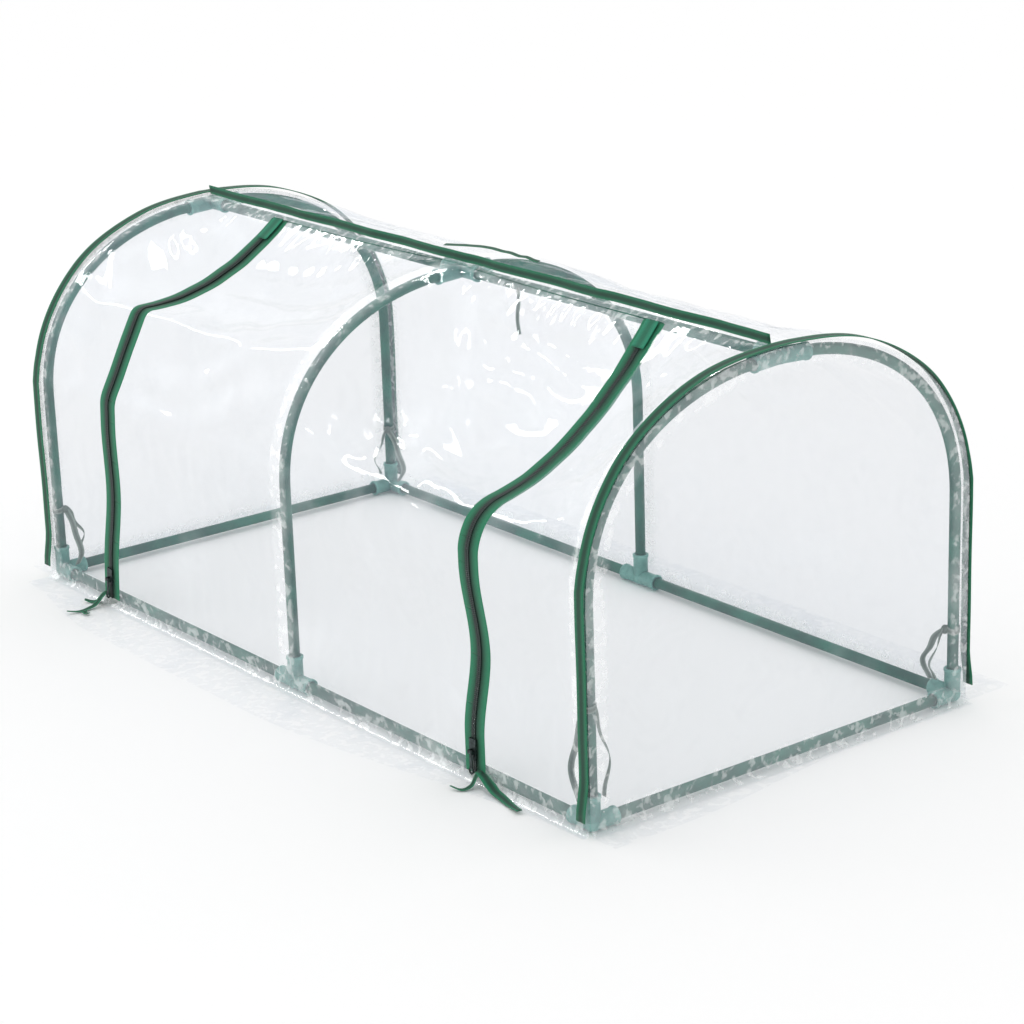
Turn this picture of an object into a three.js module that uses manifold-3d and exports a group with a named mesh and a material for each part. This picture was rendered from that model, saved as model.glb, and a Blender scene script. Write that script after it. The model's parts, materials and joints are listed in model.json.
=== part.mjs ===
// A small tunnel greenhouse: three hoops of steel tube in push-fit connectors, under a clear film cover
// whose front door unzips on both sides and rolls up onto the roof.
// Millimetres, +Z up. The origin is on the ground under the middle of the ridge, +X runs along the ridge
// and the zipped front faces -Y.
import * as THREE from 'three';
import { mergeVertices } from 'three/addons/utils/BufferGeometryUtils.js';
import Module from 'manifold-3d';

// Frame: sizes between tube centre lines.
const FRAME_LENGTH = 1180;
const FRAME_WIDTH = 576;
const RIDGE_RISE = 486;
const LEG_RISE = 253;
const ARCH_EXPONENT = 2.18;

// Tube and push-fit connectors.
const TUBE_RADIUS = 7;
const TUBE_WALL = 0.8;
const SOCKET_CLEARANCE = 0.4;
const CONNECTOR_WALL = 2.6;
const LIP_STAND = 1;
const LIP_LENGTH = 4;
const ARM_LENGTH = 34;
const CROWN_ARM_LENGTH = 42;
const SOCKET_STOP = 8;
const GUSSET_REACH = 19;
const GUSSET_THICKNESS = 3;

// Cover.
const FILM_THICKNESS = 1.2;
const FILM_CLEARANCE = 0.4;
const SEAM_GAP = 0.4;
const SEAM_BEHIND_RIDGE_FRONT = 14;
const SKIRT_WIDTH = 80;
const END_SKIRT_WIDTH = 60;
const FOOT_RADIUS = 8;
const DOOR_WALL_HEIGHT = 300;
const BINDING_WIDTH = 16;
const BINDING_THICKNESS = 1.5;
const BINDING_CLEARANCE = 1.2;
const STANDING_SEAM = 8;
const STANDING_HEIGHT = 13;
const SAG_EXPONENT = 2.4;
// Where the film's roof breaks into its wall beside each zip, and how far the roof droops before that.
// A knee's rise is its share of the way from the top of the door's wall to the ridge's centre line.
const SAG = {
  left: { kneeInset: 54, kneeRise: 0.604, droop: 25 },
  right: { kneeInset: 25, kneeRise: 0.1777, droop: 36 },
};
// The back of the roof is drawn nearly taut: it takes this share of the front's sag.
const BACK_SAG_SHARE = 0.15;

// Zips.
const ZIP_OFFSET = { left: 395, right: 392 };
const ZIP_SPLAY = { left: 40, right: 0 };
const ZIP_SPLAY_HEIGHT = 420;
const TAPE_WIDTH = 18;
const TAPE_THICKNESS = 1.6;
const ZIP_SLIT = 2;
const TAIL_PULLBACK = 8;
const TAB_WIDTH = 22;
const TAB_LENGTH = 38;
const SLIDER_WIDTH = 12;
const SLIDER_HEIGHT = 26;
const SLIDER_PLATE = 2;
const SLIDER_CHANNEL = 4;
const SLIDER_POST = 1;
const SLIDER_PARK_HEIGHT = 43;
const PULL_LENGTH = 28;
const PULL_WIDTH = 9;
const PULL_THICKNESS = 1.2;
const PIN_RADIUS = 0.8;
const PIN_CLEARANCE = 0.45;
const EYE_WALL = 1.1;

// Door: bands of film that roll up one on the next.
const WALL_BANDS = 5;
const BAND_GAP = 0.4;
// How far the first band rises past a leaning zip before it has swung clear of the fixed tape.
const BAND_SWING = 40;

// Ties.
const RIBBON_WIDTH = 10;
const RIBBON_THICKNESS = 1;
const TIE_CLEARANCE = 0.4;
const TIE_HEIGHT = { front_left: 100, front_right: 150, back_left: 100, back_right: 95 };
const TAIL_FOOT_CLEARANCE = 8;
const KNOT_SHARE = 0.8;
const STRAP_LENGTH = 126;
const STRAP_POSITION = { outer: -36, inner: 126 };
const INNER_STRAP_LENGTH = 60;
const STRAP_LIFT = 3;

// Derived sizes.
const SOCKET_RADIUS = TUBE_RADIUS + SOCKET_CLEARANCE;
const CONNECTOR_RADIUS = SOCKET_RADIUS + CONNECTOR_WALL;
const LIP_RADIUS = CONNECTOR_RADIUS + LIP_STAND;
const HUB_RADIUS = CONNECTOR_RADIUS + LIP_STAND / 2;
const BASE_HEIGHT = LIP_RADIUS;
const RIDGE_HEIGHT = BASE_HEIGHT + RIDGE_RISE;
const LEG_TOP = BASE_HEIGHT + LEG_RISE;
const HALF_LENGTH = FRAME_LENGTH / 2;
const HALF_WIDTH = FRAME_WIDTH / 2;
const FILM_OFFSET = LIP_RADIUS + FILM_CLEARANCE + FILM_THICKNESS / 2;
const WALL_LINE = HALF_WIDTH + FILM_OFFSET;
const END_LINE = HALF_LENGTH + FILM_OFFSET;
const FOOT_HEIGHT = FOOT_RADIUS + FILM_THICKNESS / 2;
const BINDING_LIFT = TAPE_THICKNESS / 2 + BINDING_CLEARANCE + BINDING_THICKNESS / 2;
const TAPE_OUTSIDE = ZIP_SLIT / 2 + TAPE_WIDTH;
const ROUND_SIDES = 12;
const TUBE_SIDES = 10;

const GREEN_STEEL = { color: 0x2c5a4c, roughness: 0.45, metalness: 0.3 };
const TEAL_PLASTIC = { color: 0x5e9c90, roughness: 0.5, metalness: 0 };
const CLEAR_FILM = { color: 0xe9ebef, roughness: 0.15, metalness: 0 };
const GREEN_TAPE = { color: 0x1f7a55, roughness: 0.9, metalness: 0 };
const GREY_RIBBON = { color: 0x8d9a90, roughness: 0.9, metalness: 0 };
const DARK_METAL = { color: 0x3a4444, roughness: 0.35, metalness: 0.8 };

const wasm = await Module();
wasm.setup();

const greenhouse = new THREE.Group();

function add(name, geometry, finish) {
  const mesh = new THREE.Mesh(geometry, new THREE.MeshStandardMaterial(finish));
  mesh.name = name;
  greenhouse.add(mesh);
}

// Booleans -------------------------------------------------------------------------------------------

function solid(geometry) {
  const bare = geometry.clone();
  bare.deleteAttribute('normal');
  bare.deleteAttribute('uv');
  const merged = mergeVertices(bare, 1e-3);
  const vertProperties = new Float32Array(merged.attributes.position.array);
  const triVerts = new Uint32Array(merged.index.array);
  return new wasm.Manifold(new wasm.Mesh({ numProp: 3, vertProperties, triVerts }));
}

function geometryOf(manifold) {
  const mesh = manifold.getMesh();
  const geometry = new THREE.BufferGeometry();
  geometry.setAttribute('position', new THREE.BufferAttribute(mesh.vertProperties, 3));
  geometry.setIndex(new THREE.BufferAttribute(mesh.triVerts, 1));
  geometry.computeVertexNormals();
  return geometry;
}

function join(geometries) {
  return geometries.map(solid).reduce((whole, piece) => whole.add(piece));
}

function cut(whole, geometries) {
  return geometries.map(solid).reduce((left, piece) => left.subtract(piece), whole);
}

// Shapes ---------------------------------------------------------------------------------------------

function box(sizeX, sizeY, sizeZ, x, y, z) {
  return new THREE.BoxGeometry(sizeX, sizeY, sizeZ).translate(x, y, z);
}

// A round bar from one point, along a unit direction.
function bar(radius, length, start, direction, sides = ROUND_SIDES) {
  const geometry = new THREE.CylinderGeometry(radius, radius, length, sides);
  geometry.rotateY(Math.PI / sides);
  geometry.translate(0, length / 2, 0);
  const turn = new THREE.Quaternion().setFromUnitVectors(new THREE.Vector3(0, 1, 0), direction);
  geometry.applyQuaternion(turn);
  return geometry.translate(start.x, start.y, start.z);
}

function ringShape(outer, inner, sides) {
  const ring = new THREE.Shape();
  const hole = new THREE.Path();
  for (let i = 0; i <= sides; i += 1) {
    const angle = (2 * Math.PI * i) / sides;
    const corner = [Math.cos(angle), Math.sin(angle)];
    const step = i === 0 ? 'moveTo' : 'lineTo';
    ring[step](outer * corner[0], outer * corner[1]);
    hole[step](inner * corner[0], inner * corner[1]);
  }
  if (inner > 0) {
    ring.holes.push(hole);
  }
  return ring;
}

function pipe(path, outer, inner, steps, sides = TUBE_SIDES) {
  const settings = { steps, extrudePath: path };
  return new THREE.ExtrudeGeometry(ringShape(outer, inner, sides), settings);
}

function even(steps, from = 0, to = 1) {
  return Array.from({ length: steps + 1 }, (_, i) => from + ((to - from) * i) / steps);
}

// A thin closed sheet whose middle surface is pointAt(u, v), through rising lists of u and v. Its outside
// is on the side that the v direction crossed with the u direction points to.
function sheet(pointAt, listU, listV, thickness, lift = 0) {
  const positions = [];
  const reach = { u: (listU.at(-1) - listU[0]) * 1e-3, v: (listV.at(-1) - listV[0]) * 1e-3 };
  const inside = (list, value) => THREE.MathUtils.clamp(value, list[0], list.at(-1));
  for (const offset of [lift + thickness / 2, lift - thickness / 2]) {
    for (const v of listV) {
      for (const u of listU) {
        const right = pointAt(inside(listU, u + reach.u), v);
        const left = pointAt(inside(listU, u - reach.u), v);
        const lower = pointAt(u, inside(listV, v + reach.v));
        const upper = pointAt(u, inside(listV, v - reach.v));
        const normal = lower.sub(upper).cross(right.sub(left)).normalize();
        const point = pointAt(u, v).addScaledVector(normal, offset);
        positions.push(point.x, point.y, point.z);
      }
    }
  }
  const columns = listU.length;
  const rows = listV.length;
  const layer = columns * rows;
  const faces = [];
  const quad = (a, b, c, d) => faces.push(a, b, c, a, c, d);
  for (let i = 0; i < rows - 1; i += 1) {
    for (let j = 0; j < columns - 1; j += 1) {
      const a = i * columns + j;
      quad(a, a + columns, a + columns + 1, a + 1);
      quad(layer + a, layer + a + 1, layer + a + columns + 1, layer + a + columns);
    }
  }
  const edge = (a, b) => quad(a, b, b + layer, a + layer);
  for (let j = 0; j < columns - 1; j += 1) {
    edge(j, j + 1);
    edge((rows - 1) * columns + j + 1, (rows - 1) * columns + j);
  }
  for (let i = 0; i < rows - 1; i += 1) {
    edge((i + 1) * columns, i * columns);
    edge(i * columns + columns - 1, (i + 1) * columns + columns - 1);
  }
  const geometry = new THREE.BufferGeometry();
  geometry.setAttribute('position', new THREE.Float32BufferAttribute(positions, 3));
  geometry.setIndex(faces);
  geometry.computeVertexNormals();
  return geometry;
}

// The arch -------------------------------------------------------------------------------------------

// A point of a hoop's centre line, from the leg's top at turn 0 to the ridge at turn 1.
function archPoint(turn) {
  const angle = (turn * Math.PI) / 2;
  const power = 2 / ARCH_EXPONENT;
  const out = HALF_WIDTH * Math.cos(angle) ** power;
  const up = (RIDGE_RISE - LEG_RISE) * Math.sin(angle) ** power;
  return new THREE.Vector2(turn === 1 ? 0 : out, LEG_TOP + up);
}

const ARCH_SAMPLES = 40;

function archPoints() {
  return Array.from({ length: ARCH_SAMPLES + 1 }, (_, i) => archPoint(i / ARCH_SAMPLES));
}

// The same arch, moved outwards by an offset: from the leg's top to the ridge.
function offsetArch(offset) {
  const centre = archPoints();
  return centre.map((point, i) => {
    const before = centre[Math.max(i - 1, 0)];
    const after = centre[Math.min(i + 1, ARCH_SAMPLES)];
    const along = after.clone().sub(before).normalize();
    const outward = new THREE.Vector2(-along.y, along.x).negate();
    if (i === 0) {
      outward.set(1, 0);
    }
    if (i === ARCH_SAMPLES) {
      outward.set(0, 1);
    }
    return point.clone().addScaledVector(outward, offset);
  });
}

// The centre line's height at a distance from the ridge, near the crown.
function crownHeight(distance) {
  const share = 1 - (distance / HALF_WIDTH) ** ARCH_EXPONENT;
  return LEG_TOP + (RIDGE_RISE - LEG_RISE) * share ** (1 / ARCH_EXPONENT);
}

// The hoop is straight through the crown connector's socket, from the ridge to just past its mouth.
const CROWN_REACH = CROWN_ARM_LENGTH + 2 * TUBE_RADIUS;
const CROWN_END = new THREE.Vector2(CROWN_REACH, crownHeight(CROWN_REACH));
const CROWN_SLOPE = (RIDGE_HEIGHT - CROWN_END.y) / CROWN_END.x;

// Half a hoop's centre line at x, on one side, from a height on the leg to a distance from the ridge.
function halfHoopPath(x, side, fromHeight, toRidge) {
  const place = (out, height) => new THREE.Vector3(x, side * out, height);
  const arch = archPoints().filter((point) => point.x > CROWN_END.x + TUBE_RADIUS);
  const bend = [...arch, CROWN_END].map((point) => place(point.x, point.y));
  const path = new THREE.CurvePath();
  path.add(new THREE.LineCurve3(place(HALF_WIDTH, fromHeight), bend[0]));
  path.add(new THREE.CatmullRomCurve3(bend, false, 'chordal'));
  path.add(new THREE.LineCurve3(bend.at(-1), place(toRidge, RIDGE_HEIGHT - toRidge * CROWN_SLOPE)));
  return path;
}

// Connectors -----------------------------------------------------------------------------------------

const ALONG_X = new THREE.Vector3(1, 0, 0);
const ALONG_Y = new THREE.Vector3(0, 1, 0);
const UP = new THREE.Vector3(0, 0, 1);

function armBody(centre, direction, length = ARM_LENGTH) {
  const lipStart = centre.clone().addScaledVector(direction, length - LIP_LENGTH);
  return [
    bar(CONNECTOR_RADIUS, length, centre, direction),
    bar(LIP_RADIUS, LIP_LENGTH, lipStart, direction),
  ];
}

function armBore(centre, direction, length = ARM_LENGTH) {
  const start = centre.clone().addScaledVector(direction, SOCKET_STOP);
  return bar(SOCKET_RADIUS, length, start, direction);
}

// A triangular web in the corner between two arms.
function gusset(centre, first, second) {
  const web = new THREE.Shape();
  web.moveTo(0, 0);
  web.lineTo(GUSSET_REACH, 0);
  web.lineTo(0, GUSSET_REACH);
  web.closePath();
  const geometry = new THREE.ExtrudeGeometry(web, { depth: GUSSET_THICKNESS, bevelEnabled: false });
  geometry.translate(0, 0, -GUSSET_THICKNESS / 2);
  const across = first.clone().cross(second);
  const turn = new THREE.Matrix4().makeBasis(first, second, across);
  return geometry.applyMatrix4(turn).translate(centre.x, centre.y, centre.z);
}

function baseConnector(x, y, arms) {
  const centre = new THREE.Vector3(x, y, BASE_HEIGHT);
  const hub = new THREE.SphereGeometry(HUB_RADIUS, ROUND_SIDES, ROUND_SIDES / 2);
  const bodies = arms.flatMap((arm) => armBody(centre, arm));
  const level = arms.filter((arm) => arm !== UP);
  const webs = level.map((arm) => gusset(centre, arm, UP));
  const whole = join([hub.translate(x, y, BASE_HEIGHT), ...bodies, ...webs]);
  return geometryOf(cut(whole, arms.map((arm) => armBore(centre, arm))));
}

function crownConnector(x, ridgeArms) {
  const centre = new THREE.Vector3(x, 0, RIDGE_HEIGHT);
  const hub = new THREE.SphereGeometry(HUB_RADIUS, ROUND_SIDES, ROUND_SIDES / 2);
  const archArms = [-1, 1].map((side) => new THREE.Vector3(0, side, -CROWN_SLOPE).normalize());
  const whole = join([
    hub.translate(x, 0, RIDGE_HEIGHT),
    ...archArms.flatMap((arm) => armBody(centre, arm, CROWN_ARM_LENGTH)),
    ...ridgeArms.flatMap((arm) => armBody(centre, arm)),
  ]);
  const bores = [
    ...archArms.map((arm) => armBore(centre, arm, CROWN_ARM_LENGTH)),
    ...ridgeArms.map((arm) => armBore(centre, arm)),
  ];
  return geometryOf(cut(whole, bores));
}

const ENDS = { left: -1, right: 1 };
const SIDES = { front: -1, back: 1 };
const HOOPS = { left: -HALF_LENGTH, middle: 0, right: HALF_LENGTH };

for (const [sideName, side] of Object.entries(SIDES)) {
  const inward = ALONG_Y.clone().multiplyScalar(-side);
  for (const [endName, end] of Object.entries(ENDS)) {
    const arms = [ALONG_X.clone().multiplyScalar(-end), inward, UP];
    const corner = baseConnector(end * HALF_LENGTH, side * HALF_WIDTH, arms);
    add(`${sideName}_${endName}_corner_connector`, corner, TEAL_PLASTIC);
  }
  const arms = [ALONG_X, ALONG_X.clone().negate(), UP];
  add(`${sideName}_middle_tee_connector`, baseConnector(0, side * HALF_WIDTH, arms), TEAL_PLASTIC);
}
const AGAINST_X = ALONG_X.clone().negate();
add('left_ridge_connector', crownConnector(HOOPS.left, [ALONG_X]), TEAL_PLASTIC);
add('middle_ridge_connector', crownConnector(HOOPS.middle, [ALONG_X, AGAINST_X]), TEAL_PLASTIC);
add('right_ridge_connector', crownConnector(HOOPS.right, [AGAINST_X]), TEAL_PLASTIC);

// Tubes ----------------------------------------------------------------------------------------------

const TUBE_BORE = TUBE_RADIUS - TUBE_WALL;
const TUBE_START = SOCKET_STOP + SOCKET_CLEARANCE;

function straightTube(from, to) {
  return pipe(new THREE.LineCurve3(from, to), TUBE_RADIUS, TUBE_BORE, 1);
}

for (const [endName, end] of Object.entries(ENDS)) {
  const nearX = end * TUBE_START;
  const farX = end * (HALF_LENGTH - TUBE_START);
  for (const [sideName, side] of Object.entries(SIDES)) {
    const from = new THREE.Vector3(nearX, side * HALF_WIDTH, BASE_HEIGHT);
    const to = new THREE.Vector3(farX, side * HALF_WIDTH, BASE_HEIGHT);
    add(`${sideName}_${endName}_base_tube`, straightTube(from, to), GREEN_STEEL);
  }
  const reach = HALF_WIDTH - TUBE_START;
  const front = new THREE.Vector3(end * HALF_LENGTH, -reach, BASE_HEIGHT);
  const back = new THREE.Vector3(end * HALF_LENGTH, reach, BASE_HEIGHT);
  add(`${endName}_end_base_tube`, straightTube(front, back), GREEN_STEEL);
  const inner = new THREE.Vector3(nearX, 0, RIDGE_HEIGHT);
  const outer = new THREE.Vector3(farX, 0, RIDGE_HEIGHT);
  add(`${endName}_ridge_tube`, straightTube(inner, outer), GREEN_STEEL);
}

const HOOP_STEPS = 16;
for (const [hoopName, x] of Object.entries(HOOPS)) {
  for (const [sideName, side] of Object.entries(SIDES)) {
    const path = halfHoopPath(x, side, BASE_HEIGHT + TUBE_START, TUBE_START);
    const tube = pipe(path, TUBE_RADIUS, TUBE_BORE, HOOP_STEPS);
    add(`${hoopName}_hoop_${sideName}_half`, tube, GREEN_STEEL);
  }
}

// Cover surface --------------------------------------------------------------------------------------

// The roof line over a hoop, from the ridge seam to the top of the wall, as distance from the middle
// and height.
const filmArch = offsetArch(FILM_OFFSET).reverse();
const seamSample = filmArch.findIndex((point) => point.x > SEAM_BEHIND_RIDGE_FRONT);
const [beforeSeam, afterSeam] = [filmArch[seamSample - 1], filmArch[seamSample]];
const seamShare = (SEAM_BEHIND_RIDGE_FRONT - beforeSeam.x) / (afterSeam.x - beforeSeam.x);
const hoopRoof = new THREE.SplineCurve([
  beforeSeam.clone().lerp(afterSeam, seamShare),
  ...filmArch.filter((point) => point.x > SEAM_BEHIND_RIDGE_FRONT + TUBE_RADIUS
    && point.y > DOOR_WALL_HEIGHT),
  new THREE.Vector2(WALL_LINE, DOOR_WALL_HEIGHT),
]);

// The roof line beside a zip: the film droops from the ridge, breaks at its knee and drops to the wall.
function bayRoof({ kneeInset, kneeRise, droop }) {
  const seam = new THREE.Vector2(SEAM_BEHIND_RIDGE_FRONT, RIDGE_HEIGHT + TUBE_RADIUS);
  const kneeHeight = THREE.MathUtils.lerp(DOOR_WALL_HEIGHT, RIDGE_HEIGHT, kneeRise);
  const knee = new THREE.Vector2(WALL_LINE - kneeInset, kneeHeight);
  const control = seam.clone().add(knee).multiplyScalar(0.5);
  control.y -= 2 * droop;
  const roof = new THREE.CurvePath();
  roof.add(new THREE.QuadraticBezierCurve(seam, control, knee));
  roof.add(new THREE.LineCurve(knee, new THREE.Vector2(WALL_LINE, DOOR_WALL_HEIGHT)));
  return roof;
}

const BAY_ROOF = { left: bayRoof(SAG.left), right: bayRoof(SAG.right) };

// How far the film has left the hoops at x: 0 over a hoop and its connectors, 1 midway between two.
function sagShare(x) {
  const hold = LIP_RADIUS + FILM_CLEARANCE;
  const across = (Math.abs(x) - hold) / (HALF_LENGTH - 2 * hold);
  return 1 - Math.abs(2 * THREE.MathUtils.clamp(across, 0, 1) - 1) ** SAG_EXPONENT;
}

// The cover's middle surface at x, by a drop that runs 0 to 1 down the roof, 1 to 2 down the wall and
// 2 to 3 round the foot and out along the skirt. Returns distance from the middle plane, and height.
function coverSection(x, side, drop) {
  if (drop <= 1) {
    const end = x < 0 ? 'left' : 'right';
    const slack = side === SIDES.front ? 1 : BACK_SAG_SHARE;
    const share = (slack * sagShare(x)) / sagShare(ZIP_OFFSET[end]);
    const bay = BAY_ROOF[end].getPoint(drop);
    return hoopRoof.getPointAt(drop).lerp(bay, share);
  }
  if (drop <= 2) {
    const height = THREE.MathUtils.lerp(DOOR_WALL_HEIGHT, FOOT_HEIGHT, drop - 1);
    return new THREE.Vector2(WALL_LINE, height);
  }
  return skirtPoint(drop - 2);
}

// The foot's quarter round takes the first part of the skirt's run.
const FOOT_SHARE = 0.3;

function skirtPoint(share) {
  if (share < FOOT_SHARE) {
    const angle = (share / FOOT_SHARE) * (Math.PI / 2);
    const out = WALL_LINE + FOOT_RADIUS * (1 - Math.cos(angle));
    return new THREE.Vector2(out, FOOT_HEIGHT - FOOT_RADIUS * Math.sin(angle));
  }
  const flat = (share - FOOT_SHARE) / (1 - FOOT_SHARE);
  const out = THREE.MathUtils.lerp(WALL_LINE + FOOT_RADIUS, WALL_LINE + SKIRT_WIDTH, flat);
  return new THREE.Vector2(out, FILM_THICKNESS / 2);
}

function coverPoint(x, side, drop) {
  const section = coverSection(x, side, drop);
  return new THREE.Vector3(x, side * section.x, section.y);
}

// The zip's middle line: x for a drop, splaying outwards below its splay height.
function zipX(end, drop) {
  const sign = ENDS[end];
  const height = coverSection(sign * ZIP_OFFSET[end], SIDES.front, drop).y;
  const fall = Math.max(1 - height / ZIP_SPLAY_HEIGHT, 0);
  return sign * (ZIP_OFFSET[end] + ZIP_SPLAY[end] * fall);
}

// Stations along X that follow the film from a hoop's connector over the bays to the next hoop, closer
// together beside a hoop, where the film falls away fastest.
const BAY_STEPS = 4;
const BAY_CROWDING = 1.5;
function bayStations(from, to) {
  const hold = LIP_RADIUS + FILM_CLEARANCE;
  const middle = HALF_LENGTH / 2;
  const steps = even(BAY_STEPS).map((share) => hold + (middle - hold) * share ** BAY_CROWDING);
  const bay = [...steps, ...steps.slice(0, -1).map((x) => HALF_LENGTH - x), HALF_LENGTH + hold];
  const stations = [...bay, ...bay.map((x) => -x)].filter((x) => x > from + hold / 2 && x < to - hold / 2);
  return [from, ...stations.sort((a, b) => a - b), to];
}

// A piece of the front between two edges, each a function that gives x for a drop.
function frontSheet(edges, stations, drops, thickness, lift = 0) {
  const pointAt = (u, drop) => {
    const x = THREE.MathUtils.lerp(edges[0](drop), edges[1](drop), u);
    return coverPoint(x, SIDES.front, drop);
  };
  const [from, to] = edges.map((edge) => edge(drops[0]));
  const listU = stations.map((x) => (x - from) / (to - from));
  return sheet(pointAt, listU, drops, thickness, lift);
}

function zipEdge(end, outward) {
  return (drop) => zipX(end, drop) + ENDS[end] * outward;
}

const ROOF_START = 0.002;
const ROOF_END = 0.995;
const ROOF_ROWS = 10;
const SKIRT_ROWS = 6;
const BINDING_DROP = BINDING_WIDTH / hoopRoof.getLength();
const ROOF_DROPS = [ROOF_START, ...even(ROOF_ROWS, BINDING_DROP, ROOF_END)];
const FOOT_DROP = 2;
const HEM_DROP = 3;
const WALL_DROPS = even(2, 1, FOOT_DROP).slice(1);
const SKIRT_DROPS = [
  ...even(3, FOOT_DROP, FOOT_DROP + FOOT_SHARE).slice(1),
  ...even(SKIRT_ROWS - 3, FOOT_DROP + FOOT_SHARE, HEM_DROP).slice(1),
];

// Fixed film, zip tapes and bindings -----------------------------------------------------------------

const FILM_END = END_LINE - FILM_THICKNESS;

for (const [end, sign] of Object.entries(ENDS)) {
  const ordered = (edges) => (sign < 0 ? edges.reverse() : edges);
  const strip = (inner, outer, drops, thickness, lift) => {
    const edges = ordered([zipEdge(end, inner), zipEdge(end, outer)]);
    return frontSheet(edges, edges.map((edge) => edge(drops[0])), drops, thickness, lift);
  };
  const filmEdges = ordered([zipEdge(end, TAPE_OUTSIDE + SEAM_GAP), () => sign * FILM_END]);
  const filmDrops = [...ROOF_DROPS, 1, ...WALL_DROPS, ...SKIRT_DROPS];
  const filmStations = bayStations(filmEdges[0](ROOF_START), filmEdges[1](ROOF_START));
  add(`front_${end}_film`, frontSheet(filmEdges, filmStations, filmDrops, FILM_THICKNESS), CLEAR_FILM);
  const tapeDrops = [...ROOF_DROPS, 1, ...WALL_DROPS];
  add(`${end}_zip_fixed_tape`, strip(ZIP_SLIT / 2, TAPE_OUTSIDE, tapeDrops, TAPE_THICKNESS), GREEN_TAPE);
  const roofLength = BAY_ROOF[end].getLength();
  const tabDrops = even(4, BINDING_CLEARANCE / roofLength, (BINDING_CLEARANCE + TAB_LENGTH) / roofLength);
  const tab = strip(-TAB_WIDTH / 2, TAB_WIDTH / 2, tabDrops, BINDING_THICKNESS, BINDING_LIFT);
  add(`${end}_zip_top_tab`, tab, GREEN_TAPE);
}

// The cover's middle surface over the ridge: y runs from one seam line to the other.
function ridgePoint(x, y) {
  const seam = coverSection(x, y < 0 ? SIDES.front : SIDES.back, 0);
  const top = RIDGE_HEIGHT + FILM_OFFSET;
  return new THREE.Vector3(x, y, top - (top - seam.y) * (y / seam.x) ** 2);
}

// The back film starts at the seam in front of the ridge, goes over the ridge and down to the back skirt.
const SEAM_DROP = -1;
function backPoint(u, drop) {
  if (drop >= 0) {
    return coverPoint(-u, SIDES.back, drop);
  }
  const start = -SEAM_BEHIND_RIDGE_FRONT + SEAM_GAP + FILM_THICKNESS;
  return ridgePoint(-u, THREE.MathUtils.lerp(SEAM_BEHIND_RIDGE_FRONT, start, drop / SEAM_DROP));
}
const backDrops = [...even(4, SEAM_DROP, 0).slice(0, -1), ...ROOF_DROPS, 1, ...WALL_DROPS, ...SKIRT_DROPS];
const fullStations = bayStations(-FILM_END, FILM_END);
add('roof_and_back_film', sheet(backPoint, fullStations, backDrops, FILM_THICKNESS), CLEAR_FILM);

// The two films are sewn together in front of the ridge, and the binding on that seam stands up.
const bindingEnd = END_LINE - BINDING_WIDTH - BINDING_CLEARANCE;
const bindingFoot = ridgePoint(0, -STANDING_SEAM).z + FILM_THICKNESS / 2 + BINDING_CLEARANCE;
add('ridge_binding', box(2 * bindingEnd, BINDING_THICKNESS, STANDING_HEIGHT, 0, -STANDING_SEAM,
  bindingFoot + STANDING_HEIGHT / 2), GREEN_TAPE);

// End panels: the hoop's outline filled with film, and a skirt along its foot.
function endPanel(sign) {
  const edge = FILM_OFFSET + FILM_THICKNESS / 2;
  const half = offsetArch(edge);
  const outline = new THREE.Shape();
  outline.moveTo(-HALF_WIDTH - edge, FILM_THICKNESS / 2);
  half.forEach((point) => outline.lineTo(-point.x, point.y));
  half.reverse().slice(1).forEach((point) => outline.lineTo(point.x, point.y));
  outline.lineTo(HALF_WIDTH + edge, FILM_THICKNESS / 2);
  outline.closePath();
  const panel = new THREE.ExtrudeGeometry(outline, { depth: FILM_THICKNESS, bevelEnabled: false });
  const stand = new THREE.Matrix4().makeBasis(ALONG_Y, UP, ALONG_X);
  panel.applyMatrix4(stand).translate(sign * END_LINE - FILM_THICKNESS / 2, 0, 0);
  const skirtStart = END_LINE - FILM_THICKNESS / 2;
  const skirt = box(END_SKIRT_WIDTH, 2 * (HALF_WIDTH + edge), FILM_THICKNESS,
    sign * (skirtStart + END_SKIRT_WIDTH / 2), 0, FILM_THICKNESS / 2);
  return geometryOf(join([panel, skirt]));
}

// Binding over an end arch, from one foot over the ridge to the other, as the film lies on the hoop.
const BINDING_FOOT_GAP = 0.02;
function archBinding(sign) {
  const middle = END_LINE - BINDING_WIDTH / 2 + FILM_THICKNESS / 2 + BINDING_CLEARANCE + BINDING_THICKNESS;
  const pointAt = (u, run) => {
    const ridge = Math.abs(run) < 1;
    const drop = Math.abs(run) - 1;
    const side = Math.sign(run);
    const over = ridge
      ? ridgePoint(HALF_LENGTH, run * SEAM_BEHIND_RIDGE_FRONT)
      : coverPoint(HALF_LENGTH, side, drop);
    return new THREE.Vector3(sign * middle - u * BINDING_WIDTH, over.y, over.z);
  };
  const down = [...ROOF_DROPS, 1, 1.5, FOOT_DROP - BINDING_FOOT_GAP].map((drop) => drop + 1);
  const runs = [...down.map((run) => -run).reverse(), -0.5, 0, 0.5, ...down];
  return sheet(pointAt, even(1, -0.5, 0.5), runs, BINDING_THICKNESS, BINDING_LIFT);
}

for (const [end, sign] of Object.entries(ENDS)) {
  add(`${end}_end_film`, endPanel(sign), CLEAR_FILM);
  add(`${end}_arch_binding`, archBinding(sign), GREEN_TAPE);
}

// Door -----------------------------------------------------------------------------------------------

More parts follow.
